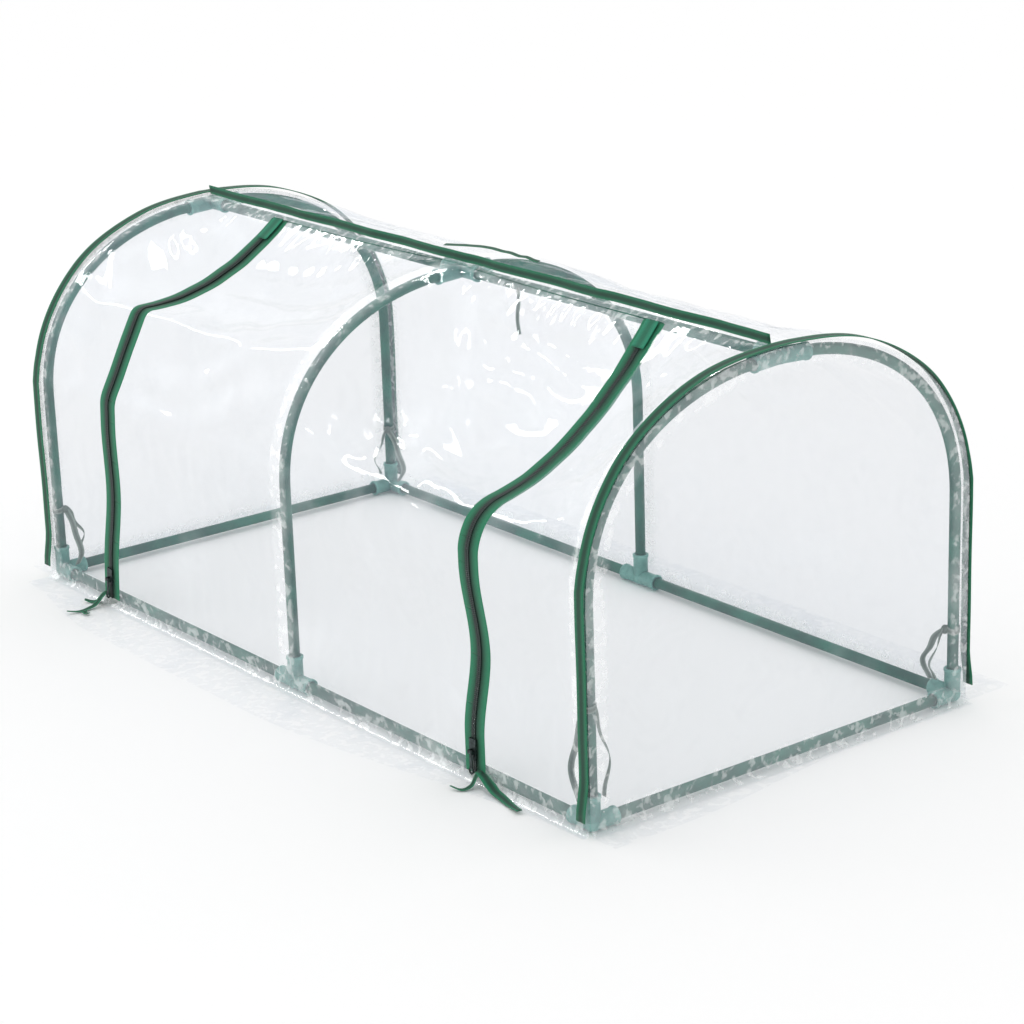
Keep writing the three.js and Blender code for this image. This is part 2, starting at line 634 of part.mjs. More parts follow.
// The door hangs between the two slits. Its film and its halves of the zip tapes are apart on the roof,
// and each band of the wall is one piece. A piece that rises stands back from a leaning zip by its rise.
function doorSheet(inset, drops, thickness, rise = 0) {
  const edges = Object.keys(ENDS).map((end) => {
    const relief = (rise * ZIP_SPLAY[end]) / ZIP_SPLAY_HEIGHT;
    return zipEdge(end, -inset - relief);
  });
  const stations = bayStations(edges[0](drops[0]), edges[1](drops[0]));
  return frontSheet(edges, stations, drops, thickness);
}

add('door_roof_film', doorSheet(TAPE_OUTSIDE + SEAM_GAP, ROOF_DROPS, FILM_THICKNESS), CLEAR_FILM);
for (const [end, sign] of Object.entries(ENDS)) {
  const edges = [zipEdge(end, -ZIP_SLIT / 2), zipEdge(end, -TAPE_OUTSIDE)];
  if (sign > 0) {
    edges.reverse();
  }
  const stations = edges.map((edge) => edge(ROOF_START));
  add(`door_roof_${end}_zip_tape`, frontSheet(edges, stations, ROOF_DROPS, TAPE_THICKNESS), GREEN_TAPE);
}

const gapShare = BAND_GAP / (DOOR_WALL_HEIGHT - FOOT_HEIGHT) / 2;
const BAND_EDGES = even(WALL_BANDS, 1, FOOT_DROP);
for (let band = 1; band <= WALL_BANDS; band += 1) {
  const drops = even(2, BAND_EDGES[band - 1] + gapShare, BAND_EDGES[band] - gapShare);
  const pullback = band === WALL_BANDS ? TAIL_PULLBACK : 0;
  const rise = band === 1 ? BAND_SWING : 0;
  const inset = ZIP_SLIT / 2 + pullback;
  add(`door_band_${band}`, doorSheet(inset, drops, FILM_THICKNESS, rise), CLEAR_FILM);
}
const doorSkirtDrops = [FOOT_DROP + gapShare, ...SKIRT_DROPS];
add('door_skirt', doorSheet(ZIP_SLIT / 2 + TAIL_PULLBACK, doorSkirtDrops, FILM_THICKNESS), CLEAR_FILM);

// Sliders and pulls ----------------------------------------------------------------------------------

const PIN_SPACE = PIN_RADIUS + PIN_CLEARANCE;
const EYE_RADIUS = PIN_SPACE + EYE_WALL;
const PLATE_FACE = SLIDER_CHANNEL / 2 + SLIDER_PLATE;
const PIN_OUT = PLATE_FACE + EYE_RADIUS + PIN_CLEARANCE;
const EYE_WIDTH = 4.4;
const EAR_THICKNESS = 1.2;
const EAR_WIDTH = EYE_WIDTH + 2 * PIN_CLEARANCE;
const PIN_DROP = 3;

// The slider about its own middle, its front to -Y.
function sliderGeometry() {
  const plateOut = SLIDER_CHANNEL / 2 + SLIDER_PLATE / 2;
  const earDepth = EYE_RADIUS + PIN_CLEARANCE + PIN_RADIUS + EAR_THICKNESS;
  const ear = (sign) => box(EAR_THICKNESS, earDepth + SLIDER_PLATE / 2, 2 * EYE_RADIUS,
    sign * (EAR_WIDTH + EAR_THICKNESS) / 2, -PLATE_FACE - earDepth / 2 + SLIDER_PLATE / 4, -PIN_DROP);
  const pinLength = EAR_WIDTH + 2 * EAR_THICKNESS;
  const pinStart = new THREE.Vector3(-pinLength / 2, -PIN_OUT, -PIN_DROP);
  return geometryOf(join([
    box(SLIDER_WIDTH, SLIDER_PLATE, SLIDER_HEIGHT, 0, -plateOut, 0),
    box(SLIDER_WIDTH, SLIDER_PLATE, SLIDER_HEIGHT, 0, plateOut, 0),
    box(SLIDER_POST, 2 * plateOut, SLIDER_HEIGHT / 3, 0, 0, SLIDER_HEIGHT / 3),
    ear(-1),
    ear(1),
    bar(PIN_RADIUS, pinLength, pinStart, ALONG_X, TUBE_SIDES),
  ]));
}

// The pull about its pin, hanging down: an eye, a shank and a ring to put a finger tip through.
function pullGeometry() {
  const shank = new THREE.Shape();
  const ringRadius = PULL_WIDTH / 2;
  shank.absarc(0, -PULL_LENGTH + ringRadius, ringRadius, 0, 2 * Math.PI);
  const hole = new THREE.Path();
  hole.absarc(0, -PULL_LENGTH + ringRadius, ringRadius - 2 * PULL_THICKNESS, 0, 2 * Math.PI);
  shank.holes.push(hole);
  const settings = { depth: PULL_THICKNESS, bevelEnabled: false, curveSegments: ROUND_SIDES / 2 };
  const stand = new THREE.Matrix4().makeBasis(ALONG_X, UP, ALONG_Y.clone().negate());
  const ring = new THREE.ExtrudeGeometry(shank, settings).applyMatrix4(stand);
  ring.translate(0, PULL_THICKNESS / 2, 0);
  const strapLength = PULL_LENGTH - PULL_WIDTH;
  const strap = box(EYE_WIDTH, PULL_THICKNESS, strapLength, 0, 0, -strapLength / 2 - PIN_SPACE / 2);
  const eyeStart = new THREE.Vector3(-EYE_WIDTH / 2, 0, 0);
  const eye = bar(EYE_RADIUS, EYE_WIDTH, eyeStart, ALONG_X);
  const boreStart = new THREE.Vector3(-EYE_WIDTH, 0, 0);
  const bore = bar(PIN_SPACE, 2 * EYE_WIDTH, boreStart, ALONG_X);
  return geometryOf(cut(join([ring, strap, eye]), [bore]));
}

for (const [end, sign] of Object.entries(ENDS)) {
  const fall = 1 - SLIDER_PARK_HEIGHT / ZIP_SPLAY_HEIGHT;
  const x = sign * (ZIP_OFFSET[end] + ZIP_SPLAY[end] * fall);
  const lean = sign * Math.atan(ZIP_SPLAY[end] / ZIP_SPLAY_HEIGHT);
  const place = (geometry) => geometry.rotateY(-lean).translate(x, -WALL_LINE, SLIDER_PARK_HEIGHT);
  add(`${end}_zip_slider`, place(sliderGeometry()), DARK_METAL);
  add(`${end}_zip_pull`, place(pullGeometry().translate(0, -PIN_OUT, -PIN_DROP)), DARK_METAL);
}

// Ties -----------------------------------------------------------------------------------------------

// A ribbon tied round a leg: the loop, the knot and two hanging tails, all inside the cover.
function cornerTie(endSign, side, height) {
  const x = endSign * HALF_LENGTH;
  const y = side * HALF_WIDTH;
  const inner = TUBE_RADIUS + TIE_CLEARANCE;
  const outer = inner + RIBBON_THICKNESS;
  const loop = new THREE.ExtrudeGeometry(ringShape(outer, inner, ROUND_SIDES), {
    depth: RIBBON_WIDTH,
    bevelEnabled: false,
  });
  loop.translate(x, y, height - RIBBON_WIDTH / 2);
  const knotSize = RIBBON_WIDTH * KNOT_SHARE;
  const knotX = x - endSign * (inner + knotSize / 2) * Math.SQRT1_2;
  const knotY = y - side * (inner + knotSize / 2) * Math.SQRT1_2;
  const knot = box(knotSize, knotSize, RIBBON_WIDTH, knotX, knotY, height);
  const legStart = new THREE.Vector3(x, y, height - RIBBON_WIDTH);
  const cleared = cut(join([loop, knot]), [bar(inner, 2 * RIBBON_WIDTH, legStart, UP)]);
  const tailOut = (knotSize - RIBBON_THICKNESS) / 2;
  const tailFoot = BASE_HEIGHT + LIP_RADIUS + TAIL_FOOT_CLEARANCE;
  const tailLength = height - tailFoot;
  const tailZ = (height + tailFoot) / 2;
  const inX = box(RIBBON_THICKNESS, knotSize, tailLength, knotX - endSign * tailOut, knotY, tailZ);
  const inY = box(knotSize, RIBBON_THICKNESS, tailLength, knotX, knotY - side * tailOut, tailZ);
  return geometryOf(cleared.add(solid(inX)).add(solid(inY)));
}

for (const [sideName, side] of Object.entries(SIDES)) {
  for (const [endName, end] of Object.entries(ENDS)) {
    const corner = `${sideName}_${endName}`;
    add(`${corner}_corner_tie`, cornerTie(end, side, TIE_HEIGHT[corner]), GREY_RIBBON);
  }
}

// The drop at which one side of the roof at x is a given distance from the middle plane.
function dropAt(x, side, out) {
  let [low, high] = [0, 1];
  for (let step = 0; step < 20; step += 1) {
    const middle = (low + high) / 2;
    if (coverSection(x, side, middle).x < out) {
      low = middle;
    } else {
      high = middle;
    }
  }
  return low;
}

// The outer roll-up strap is sewn in the ridge seam and lies over the ridge onto the back of the roof.
const STRAP_TURN = THREE.MathUtils.degToRad(33);
function outerStrapPoint(u, run) {
  const x = STRAP_POSITION.outer + run * Math.cos(STRAP_TURN) - u * Math.sin(STRAP_TURN);
  const y = run * Math.sin(STRAP_TURN) + u * Math.cos(STRAP_TURN);
  const seam = SEAM_BEHIND_RIDGE_FRONT;
  return y < seam ? ridgePoint(x, y) : coverPoint(x, SIDES.back, dropAt(x, SIDES.back, y));
}
const strapWidths = [-RIBBON_WIDTH / 2, RIBBON_WIDTH / 2];
const strapRuns = even(10, 0, STRAP_LENGTH);
const outerStrap = sheet(outerStrapPoint, strapWidths, strapRuns, RIBBON_THICKNESS, STRAP_LIFT);
add('outer_roll_up_strap', outerStrap, GREY_RIBBON);

const strapTop = RIDGE_HEIGHT;
const strapY = -(TUBE_RADIUS + LIP_RADIUS) / 2;
add('inner_roll_up_strap', box(RIBBON_WIDTH, RIBBON_THICKNESS, INNER_STRAP_LENGTH, STRAP_POSITION.inner,
  strapY - RIBBON_THICKNESS, strapTop - INNER_STRAP_LENGTH / 2), GREY_RIBBON);

export default greenhouse;
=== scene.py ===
"""The looks of a small tunnel greenhouse: a push-fit tube frame under a clear film cover with a zip door.

Metres, +Z up. The origin is on the ground under the middle of the ridge, +X runs along the ridge and the
zipped front faces -Y.
"""

import json
import logging
import math
from collections.abc import Callable, Sequence
from dataclasses import dataclass, field
from enum import Enum

import bmesh
import bpy
from mathutils import Matrix, Vector, noise

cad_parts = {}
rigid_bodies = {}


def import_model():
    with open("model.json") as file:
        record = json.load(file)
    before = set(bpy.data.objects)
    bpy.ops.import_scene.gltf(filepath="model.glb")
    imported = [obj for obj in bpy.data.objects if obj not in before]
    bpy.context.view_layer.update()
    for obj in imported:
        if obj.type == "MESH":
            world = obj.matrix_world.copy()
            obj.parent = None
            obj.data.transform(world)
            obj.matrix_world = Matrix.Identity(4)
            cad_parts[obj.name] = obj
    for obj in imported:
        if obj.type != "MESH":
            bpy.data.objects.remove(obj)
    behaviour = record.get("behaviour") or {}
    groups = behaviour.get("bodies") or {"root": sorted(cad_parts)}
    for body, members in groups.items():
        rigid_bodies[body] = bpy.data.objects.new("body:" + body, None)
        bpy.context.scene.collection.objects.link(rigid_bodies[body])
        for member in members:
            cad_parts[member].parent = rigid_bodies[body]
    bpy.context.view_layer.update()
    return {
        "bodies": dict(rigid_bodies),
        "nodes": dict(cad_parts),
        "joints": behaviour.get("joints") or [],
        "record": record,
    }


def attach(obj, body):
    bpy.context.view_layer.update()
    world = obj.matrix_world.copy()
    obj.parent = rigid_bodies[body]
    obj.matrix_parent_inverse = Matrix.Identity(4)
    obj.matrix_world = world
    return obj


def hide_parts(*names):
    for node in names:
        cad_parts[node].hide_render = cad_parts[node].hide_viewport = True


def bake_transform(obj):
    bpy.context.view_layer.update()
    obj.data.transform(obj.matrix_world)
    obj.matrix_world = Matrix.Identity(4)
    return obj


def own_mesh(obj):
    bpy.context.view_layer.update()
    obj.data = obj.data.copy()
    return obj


log = logging.getLogger("greenhouse")

FRAME_BODY = "cover_and_frame"
MM = 0.001
SMALLEST = 1e-6
ALONG_HOUSE = Vector((1, 0, 0))
UP = Vector((0, 0, 1))
PointAt = Callable[[float, float], Vector]


class End(Enum):
    """The two ends of the house, by the sign of their x."""

    LEFT = -1
    RIGHT = 1

    @property
    def word(self) -> str:
        """The end's name in node names."""
        return self.name.lower()


class Side(Enum):
    """The two long sides of the house, by the sign of their y."""

    FRONT = -1
    BACK = 1

    @property
    def word(self) -> str:
        """The side's name in node names."""
        return self.name.lower()


# Finishes --------------------------------------------------------------------------------------------


def linear(hex_colour: str) -> tuple[float, float, float, float]:
    """Turns an sRGB hex colour to linear.

    Args:
        hex_colour: Six hex digits.

    Returns:
        Red, green, blue and an alpha of one.
    """
    parts = [int(hex_colour[i : i + 2], 16) / 255 for i in (0, 2, 4)]
    # The numbers below are the sRGB curve's own.
    red, green, blue = (p / 12.92 if p <= 0.04045 else ((p + 0.055) / 1.055) ** 2.4 for p in parts)
    return red, green, blue, 1.0


def add_node(
    tree: bpy.types.NodeTree,
    kind: str,
    settings: dict[str | int, object] | None = None,
    links: dict[str | int, bpy.types.NodeSocket] | None = None,
) -> bpy.types.Node:
    """Adds one node with its settings and its incoming links.

    Args:
        tree: The node tree to add to.
        kind: The node's Blender type name.
        settings: The node's own attributes, or its inputs by name or number, to values.
        links: Inputs by name or number to the outputs that feed them.

    Returns:
        The new node.
    """
    node = tree.nodes.new(kind)
    for name, value in (settings or {}).items():
        if isinstance(name, str) and hasattr(node, name):
            setattr(node, name, value)
        else:
            node.inputs[name].default_value = value
    for name, socket in (links or {}).items():
        tree.links.new(socket, node.inputs[name])
    return node


@dataclass(frozen=True)
class Finish:
    """What every finish shares: its name, its base colour, a darker one and its gloss."""

    name: str
    colour: str
    dark: str
    roughness: float

    def material(self) -> bpy.types.Material:
        """Makes the material once and gives it back after that.

        Returns:
            The material.
        """
        made = bpy.data.materials.get(self.name)
        if made is None:
            made = bpy.data.materials.new(self.name)
            made.use_nodes = True
            tree = made.node_tree
            shader = tree.nodes["Principled BSDF"]
            shader.inputs["Base Color"].default_value = linear(self.colour)
            shader.inputs["Roughness"].default_value = self.roughness
            self.dress(tree, shader)
        return made

    def dress(self, tree: bpy.types.NodeTree, shader: bpy.types.Node) -> None:
        """Adds what this finish has beyond plain values.

        Args:
            tree: The material's node tree.
            shader: Its Principled shader.
        """

    def shade(
        self,
        tree: bpy.types.NodeTree,
        shader: bpy.types.Node,
        value: bpy.types.NodeSocket,
        low: float,
        high: float,
    ) -> None:
        """Colours the surface from dark to its own colour by a value.

        Args:
            tree: The material's node tree.
            shader: Its Principled shader.
            value: What to read.
            low: The value that is dark.
            high: The value that has the full colour.
        """
        ramp = add_node(tree, "ShaderNodeValToRGB", links={"Fac": value})
        ramp.color_ramp.elements[0].color = linear(self.dark)
        ramp.color_ramp.elements[0].position = low
        ramp.color_ramp.elements[1].color = linear(self.colour)
        ramp.color_ramp.elements[1].position = high
        tree.links.new(ramp.outputs["Color"], shader.inputs["Base Color"])

    def noise(
        self, tree: bpy.types.NodeTree, grain_mm: float, detail: float, twist: float = 0.0
    ) -> bpy.types.NodeSocket:
        """Noise on the object's own coordinates, in grains of a real size.

        Args:
            tree: The material's node tree.
            grain_mm: One grain's size.
            detail: How many finer layers it has.
            twist: How far it is distorted.

        Returns:
            The noise's value.
        """
        where = add_node(tree, "ShaderNodeTexCoord")
        made = add_node(
            tree,
            "ShaderNodeTexNoise",
            {"Scale": 1 / (grain_mm * MM), "Detail": detail, "Distortion": twist},
            {"Vector": where.outputs["Object"]},
        )
        return made.outputs["Fac"]

    def raise_by(
        self,
        tree: bpy.types.NodeTree,
        shader: bpy.types.Node,
        height: bpy.types.NodeSocket,
        depth_mm: float,
        strength: float,
    ) -> None:
        """Raises the surface by a height.

        Args:
            tree: The material's node tree.
            shader: Its Principled shader.
            height: The height, from 0 to 1.
            depth_mm: What a height of 1 stands for.
            strength: How strongly it shows.
        """
        bump = add_node(
            tree, "ShaderNodeBump", {"Strength": strength, "Distance": depth_mm * MM}, {"Height": height}
        )
        tree.links.new(bump.outputs["Normal"], shader.inputs["Normal"])

    def wave(self, tree: bpy.types.NodeTree, attribute: str, pitch_mm: float) -> bpy.types.NodeSocket:
        """A sine along one of the piece's own measures.

        Args:
            tree: The material's node tree.
            attribute: The measure's name, in metres.
            pitch_mm: One turn's length.

        Returns:
            The sine's value.
        """
        measure = add_node(tree, "ShaderNodeAttribute", {"attribute_name": attribute})
        turns = add_node(
            tree,
            "ShaderNodeMath",
            {"operation": "MULTIPLY", 1: 2 * math.pi / (pitch_mm * MM)},
            {0: measure.outputs["Fac"]},
        )
        return add_node(tree, "ShaderNodeMath", {"operation": "SINE"}, {0: turns.outputs[0]}).outputs[0]


@dataclass(frozen=True)
class PowderCoat(Finish):
    """Powder-coated steel tube: an even satin green with the fine pebble of baked powder."""

    grain_mm: float = 1.5
    patch_mm: float = 40.0

    def dress(self, tree: bpy.types.NodeTree, shader: bpy.types.Node) -> None:
        """Adds patches of thicker coat, and the pebble drawn coarser than real so that it shows.

        Args:
            tree: The material's node tree.
            shader: Its Principled shader.
        """
        self.shade(tree, shader, self.noise(tree, self.patch_mm, detail=4.0), low=0.35, high=0.65)
        pebble = self.noise(tree, self.grain_mm, detail=2.0)
        self.raise_by(tree, shader, pebble, depth_mm=0.1, strength=0.2)


@dataclass(frozen=True)
class MouldedPlastic(Finish):
    """Injection-moulded polypropylene: a soft sheen that is uneven over faint flow marks."""

    flow_mm: float = 9.0
    uneven: float = 0.1

    def dress(self, tree: bpy.types.NodeTree, shader: bpy.types.Node) -> None:
        """Adds the flow marks to colour, sheen and surface.

        Args:
            tree: The material's node tree.
            shader: Its Principled shader.
        """
        flow = self.noise(tree, self.flow_mm, detail=5.0, twist=0.6)
        self.shade(tree, shader, flow, low=0.3, high=0.6)
        gloss = add_node(
            tree,
            "ShaderNodeMapRange",
            {"To Min": self.roughness - self.uneven, "To Max": self.roughness + self.uneven},
            {"Value": flow},
        )
        tree.links.new(gloss.outputs["Result"], shader.inputs["Roughness"])
        self.raise_by(tree, shader, flow, depth_mm=0.3, strength=0.25)


@dataclass(frozen=True)
class WovenTape(Finish):
    """Woven polyester tape: ribs across it, a darker middle, a stitch row near the edge, a faint sheen."""

    rib_mm: float = 1.8
    stitch_mm: float = 4.2
    fuzz_mm: float = 1.1
    stitch_row: float = 0.8
    row_width: float = 0.07
    fuzz_share: float = 0.5
    rib_share: float = 0.6
    sheen: float = 0.1

    def dress(self, tree: bpy.types.NodeTree, shader: bpy.types.Node) -> None:
        """Adds the weave and stitches. Ribs are drawn at about twice their real pitch so that they show.

        Args:
            tree: The material's node tree.
            shader: Its Principled shader.
        """
        across = add_node(tree, "ShaderNodeAttribute", {"attribute_name": "across"}).outputs["Fac"]
        fuzz = self.noise(tree, self.fuzz_mm, detail=3.0)
        worn = add_node(
            tree, "ShaderNodeMath", {"operation": "MULTIPLY_ADD", 1: self.fuzz_share}, {0: fuzz, 2: across}
        )
        self.shade(tree, shader, worn.outputs[0], low=0.45, high=1.0)
        ribs = self.wave(tree, "along", self.rib_mm)
        stitches = self.wave(tree, "along", self.stitch_mm)
        row = add_node(
            tree,
            "ShaderNodeMath",
            {"operation": "COMPARE", 1: self.stitch_row, 2: self.row_width},
            {0: across},
        )
        thread = add_node(
            tree, "ShaderNodeMath", {"operation": "MULTIPLY"}, {0: stitches, 1: row.outputs[0]}
        )
        weave = add_node(
            tree, "ShaderNodeMath", {"operation": "MULTIPLY_ADD", 1: self.rib_share}, {0: ribs, 2: fuzz}
        )
        height = add_node(
            tree, "ShaderNodeMath", {"operation": "ADD"}, {0: weave.outputs[0], 1: thread.outputs[0]}
        )
        self.raise_by(tree, shader, height.outputs[0], depth_mm=0.25, strength=0.55)
        shader.inputs["Sheen Weight"].default_value = self.sheen


@dataclass(frozen=True)
class ClearFilm(Finish):
    """Clear flexible PVC film: a faint cool tint, a wet gloss, and painted light: paler, cloudier creases and
    painted glints on wrinkles where a tube holds it.
    """

    haze: float = 0.14
    # Painted light: how much paler and cloudier the film is drawn along its long creases.
    crease_haze: float = 0.1
    # Painted glint: how much paler and cloudier the film is drawn over the tubes, evenly and again in short
    # wrinkles.
    tight_haze: float = 0.1
    wrinkle_haze: float = 0.2
    wrinkle_mm: float = 11.0
    crease_mm: float = 80.0
    crease_depth_mm: float = 6.0
    ior: float = 1.53
    coat: float = 0.6
    coat_roughness: float = 0.03

    def dress(self, tree: bpy.types.NodeTree, shader: bpy.types.Node) -> None:
        """Adds long faint creases all over, as bumps with painted light streaks, and painted glints of short
        wrinkles over the tubes.

        Args:
            tree: The material's node tree.
            shader: Its Principled shader.
        """
        long_crease = self.noise(tree, self.crease_mm, detail=3.0, twist=0.5)
        crease = add_node(
            tree, "ShaderNodeMapRange", {"From Min": 0.5, "From Max": 0.75}, {"Value": long_crease}
        )
        short = self.noise(tree, self.wrinkle_mm, detail=2.0, twist=0.4)
        blob = add_node(tree, "ShaderNodeMapRange", {"From Min": 0.52, "From Max": 0.66}, {"Value": short})
        tight = add_node(tree, "ShaderNodeAttribute", {"attribute_name": "tight"}).outputs["Fac"]
        # Painted glint over the tubes: the film is drawn paler and more opaque where a tube holds it, more so
        # in short wrinkles.
        glint_amount = add_node(
            tree,
            "ShaderNodeMath",
            {"operation": "MULTIPLY_ADD", 1: self.wrinkle_haze, 2: self.tight_haze},
            {0: blob.outputs[0]},
        )
        over_tube = add_node(
            tree, "ShaderNodeMath", {"operation": "MULTIPLY"}, {0: glint_amount.outputs[0], 1: tight}
        )
        # The open film's own haze, drawn paler and cloudier along the long creases as painted light streaks.
        open_film = add_node(
            tree,
            "ShaderNodeMath",
            {"operation": "MULTIPLY_ADD", 1: self.crease_haze, 2: self.haze},
            {0: crease.outputs[0]},
        )
        seen = add_node(
            tree,
            "ShaderNodeMath",
            {"operation": "ADD", "use_clamp": True},
            {0: over_tube.outputs[0], 1: open_film.outputs[0]},
        )
        tree.links.new(seen.outputs[0], shader.inputs["Alpha"])
        # The more opaque the film is drawn, the paler it is: from its cool tint up to the near white of the
        # painted glint.
        self.shade(tree, shader, seen.outputs[0], low=self.haze, high=self.haze + 2 * self.tight_haze)
        self.raise_by(tree, shader, long_crease, self.crease_depth_mm, strength=0.3)
        shader.inputs["IOR"].default_value = self.ior
        shader.inputs["Coat Weight"].default_value = self.coat
        shader.inputs["Coat Roughness"].default_value = self.coat_roughness


@dataclass(frozen=True)
class LacqueredZinc(Finish):
    """Die-cast zinc under dark lacquer, worn a little paler in patches."""

    patch_mm: float = 3.0
    metallic: float = 0.8

    def dress(self, tree: bpy.types.NodeTree, shader: bpy.types.Node) -> None:
        """Makes it metal, with uneven lacquer over the cast grain.

        Args:
            tree: The material's node tree.
            shader: Its Principled shader.
        """
        worn = self.noise(tree, self.patch_mm, detail=4.0)
        self.shade(tree, shader, worn, low=0.35, high=0.7)
        self.raise_by(tree, shader, worn, depth_mm=0.1, strength=0.3)
        shader.inputs["Metallic"].default_value = self.metallic


@dataclass(frozen=True)
class ZipCoil(Finish):
    """Nylon zip coil: a nearly black row of tight turns that glint on their crowns."""

    pitch_mm: float = 2.4

    def dress(self, tree: bpy.types.NodeTree, shader: bpy.types.Node) -> None:
        """Puts the turns along the coil, at about twice their real pitch so that they show.

        Args:
            tree: The material's node tree.
            shader: Its Principled shader.
        """
        turns = self.wave(tree, "along", self.pitch_mm)
        self.shade(tree, shader, turns, low=0.2, high=1.0)
        self.raise_by(tree, shader, turns, depth_mm=0.5, strength=0.9)


@dataclass(frozen=True)
class StudioFloor(Finish):
    """A plain matt white studio floor."""


TUBE_FINISH = PowderCoat("powder_coated_steel", "216E5A", "185143", 0.45)
CONNECTOR_FINISH = MouldedPlastic("moulded_polypropylene", "6FA89E", "558F85", 0.45)
BINDING_FINISH = WovenTape("woven_edge_binding", "15704E", "0A3D2C", 0.75)
ZIP_TAPE_FINISH = WovenTape("woven_zip_tape", "177A56", "0A3B2B", 0.75)
TAB_FINISH = WovenTape("woven_tab_ribbon", "1F8767", "14684E", 0.75)
RIBBON_FINISH = WovenTape("woven_tie_ribbon", "86948A", "5B685F", 0.8)
# The near white is the painted glint where the film is drawn cloudier; the darker colour is the film's own
# cool tint.
FILM_FINISH = ClearFilm("clear_pvc_film", "F6F9FB", "A9B5C4", 0.05)
METAL_FINISH = LacqueredZinc("lacquered_zinc", "4A5656", "262E2E", 0.35)
COIL_FINISH = ZipCoil("nylon_zip_coil", "23413A", "0B1713", 0.45)
FLOOR_FINISH = StudioFloor("pale_studio_floor", "FFFFFF", "FFFFFF", 0.9)


# Shapes ----------------------------------------------------------------------------------------------


def finished_object(name: str, bm: bmesh.types.BMesh, finish: Finish) -> bpy.types.Object:
    """Turns a bmesh into a smooth object at the origin, dressed in one finish.

    Args:
        name: The piece's name.
        bm: The mesh, which is freed.
        finish: What it is made of.

    Returns:
        The new object.
    """
    mesh = bpy.data.meshes.new(name)
    for face in bm.faces:
        face.smooth = True
    bm.to_mesh(mesh)
    bm.free()
    mesh.materials.append(finish.material())
    piece = bpy.data.objects.new(name, mesh)
    bpy.context.scene.collection.objects.link(piece)
    log.info("%s: %d faces", name, len(mesh.polygons))
    return piece


def sheet_mesh(
    point_at: PointAt, columns: int, rows: int, tight_at: Callable[[Vector], float]
) -> bmesh.types.BMesh:
    """Shapes a grid into a sheet.

    Args:
        point_at: The place of a share across and a share down, each from 0 to 1.
        columns: Steps across.
        rows: Steps down.
        tight_at: How tightly a tube pulls the sheet at a point, from 0 to 1.

    Returns:
        The sheet's mesh.
    """
    bm = bmesh.new()
    bmesh.ops.create_grid(bm, x_segments=columns, y_segments=rows, size=0.5)
    # The film's painted glint is drawn where this is high.
    tight = bm.verts.layers.float.new("tight")
    for vert in bm.verts:
        vert.co = point_at(vert.co.x + 0.5, 0.5 - vert.co.y)
        vert[tight] = tight_at(vert.co)
    bmesh.ops.recalc_face_normals(bm, faces=bm.faces)
    return bm


def sweep(
    bm: bmesh.types.BMesh, section: Sequence[tuple[float, float]], frames: Sequence[Matrix], outer: int = 0
) -> None:
    """Carries a closed outline along a run of frames, and closes both ends.

    Args:
        bm: The mesh to add to.
        section: The outline in a frame's X and Y.
        frames: Frames along the run, their Z along it.
        outer: Which way X the outer edge lies, or 0 where both edges are outer ones.
    """
    along = bm.verts.layers.float.get("along") or bm.verts.layers.float.new("along")
    across = bm.verts.layers.float.get("across") or bm.verts.layers.float.new("across")
    half = max(abs(x) for x, _ in section)
    ring = [bm.verts.new(frames[0] @ Vector((x, y, 0))) for x, y in section]
    for vert, (x, _) in zip(ring, section):
        vert[across] = (1 + outer * x / half) / 2 if outer else abs(x) / half
    edges = [bm.edges.new((ring[i - 1], ring[i])) for i in range(len(ring))]
    first = list(edges)
    travelled = 0.0
    for before, after in zip(frames, frames[1:]):
        made = bmesh.ops.extrude_edge_only(bm, edges=edges)["geom"]
        moved = [g for g in made if isinstance(g, bmesh.types.BMVert)]
        edges = [g for g in made if isinstance(g, bmesh.types.BMEdge)]
        bmesh.ops.transform(bm, matrix=after @ before.inverted(), verts=moved)
        travelled += (after.translation - before.translation).length
        for vert in moved:
            vert[along] = travelled
    for loop in (first, edges):
        bmesh.ops.edgeloop_fill(bm, edges=loop)
    bmesh.ops.recalc_face_normals(bm, faces=bm.faces)


def run_frames(points: Sequence[Vector], across: Callable[[int], Vector]) -> list[Matrix]:
    """Frames along a run of points.

    Args:
        points: The run.
        across: The wanted width direction at each point's number.

    Returns:
        One frame a point: X across, Y off the face, Z along.
    """
    frames = []
    for i, point in enumerate(points):
        ahead = points[min(i + 1, len(points) - 1)] - points[max(i - 1, 0)]
        z = ahead.normalized()
        x = across(i)
        x = (x - z * x.dot(z)).normalized()
        y = z.cross(x)
        frame = Matrix((x, y, z)).transposed().to_4x4()
        frame.translation = point
        frames.append(frame)
    return frames


def circle(radius: float, sides: int) -> list[tuple[float, float]]:
    """A round outline.

    Args:
        radius: Its radius.
        sides: Its corners.

    Returns:
        Its corners in order.
    """
    return [
        (radius * math.cos(2 * math.pi * i / sides), radius * math.sin(2 * math.pi * i / sides))
        for i in range(sides)
    ]


def strap(width: float, thickness: float) -> list[tuple[float, float]]:
    """A flat strap's outline, its edges rounded and its faces divided so that a measure across reads true.

    Args:
        width: Its width.
        thickness: Its thickness.

    Returns:
        Its corners in order.
    """
    edge, face = width / 2, thickness / 2
    stops = (-0.94, -0.78, -0.4, 0.0, 0.4, 0.78, 0.94)
    under = [(edge * stop, -face) for stop in stops]
    over = [(edge * stop, face) for stop in reversed(stops)]
    return [(-edge, 0.0), *under, (edge, 0.0), *over]


def taper(frames: Sequence[Matrix], width_at: Callable[[float], float]) -> list[Matrix]:
    """Narrows a run of frames.

    Args:
        frames: The run's frames.
        width_at: The width's share at each share of the run.

    Returns:
        The narrowed frames.
    """
    last = len(frames) - 1
    return [frame @ Matrix.Diagonal((width_at(i / last), 1, 1, 1)) for i, frame in enumerate(frames)]


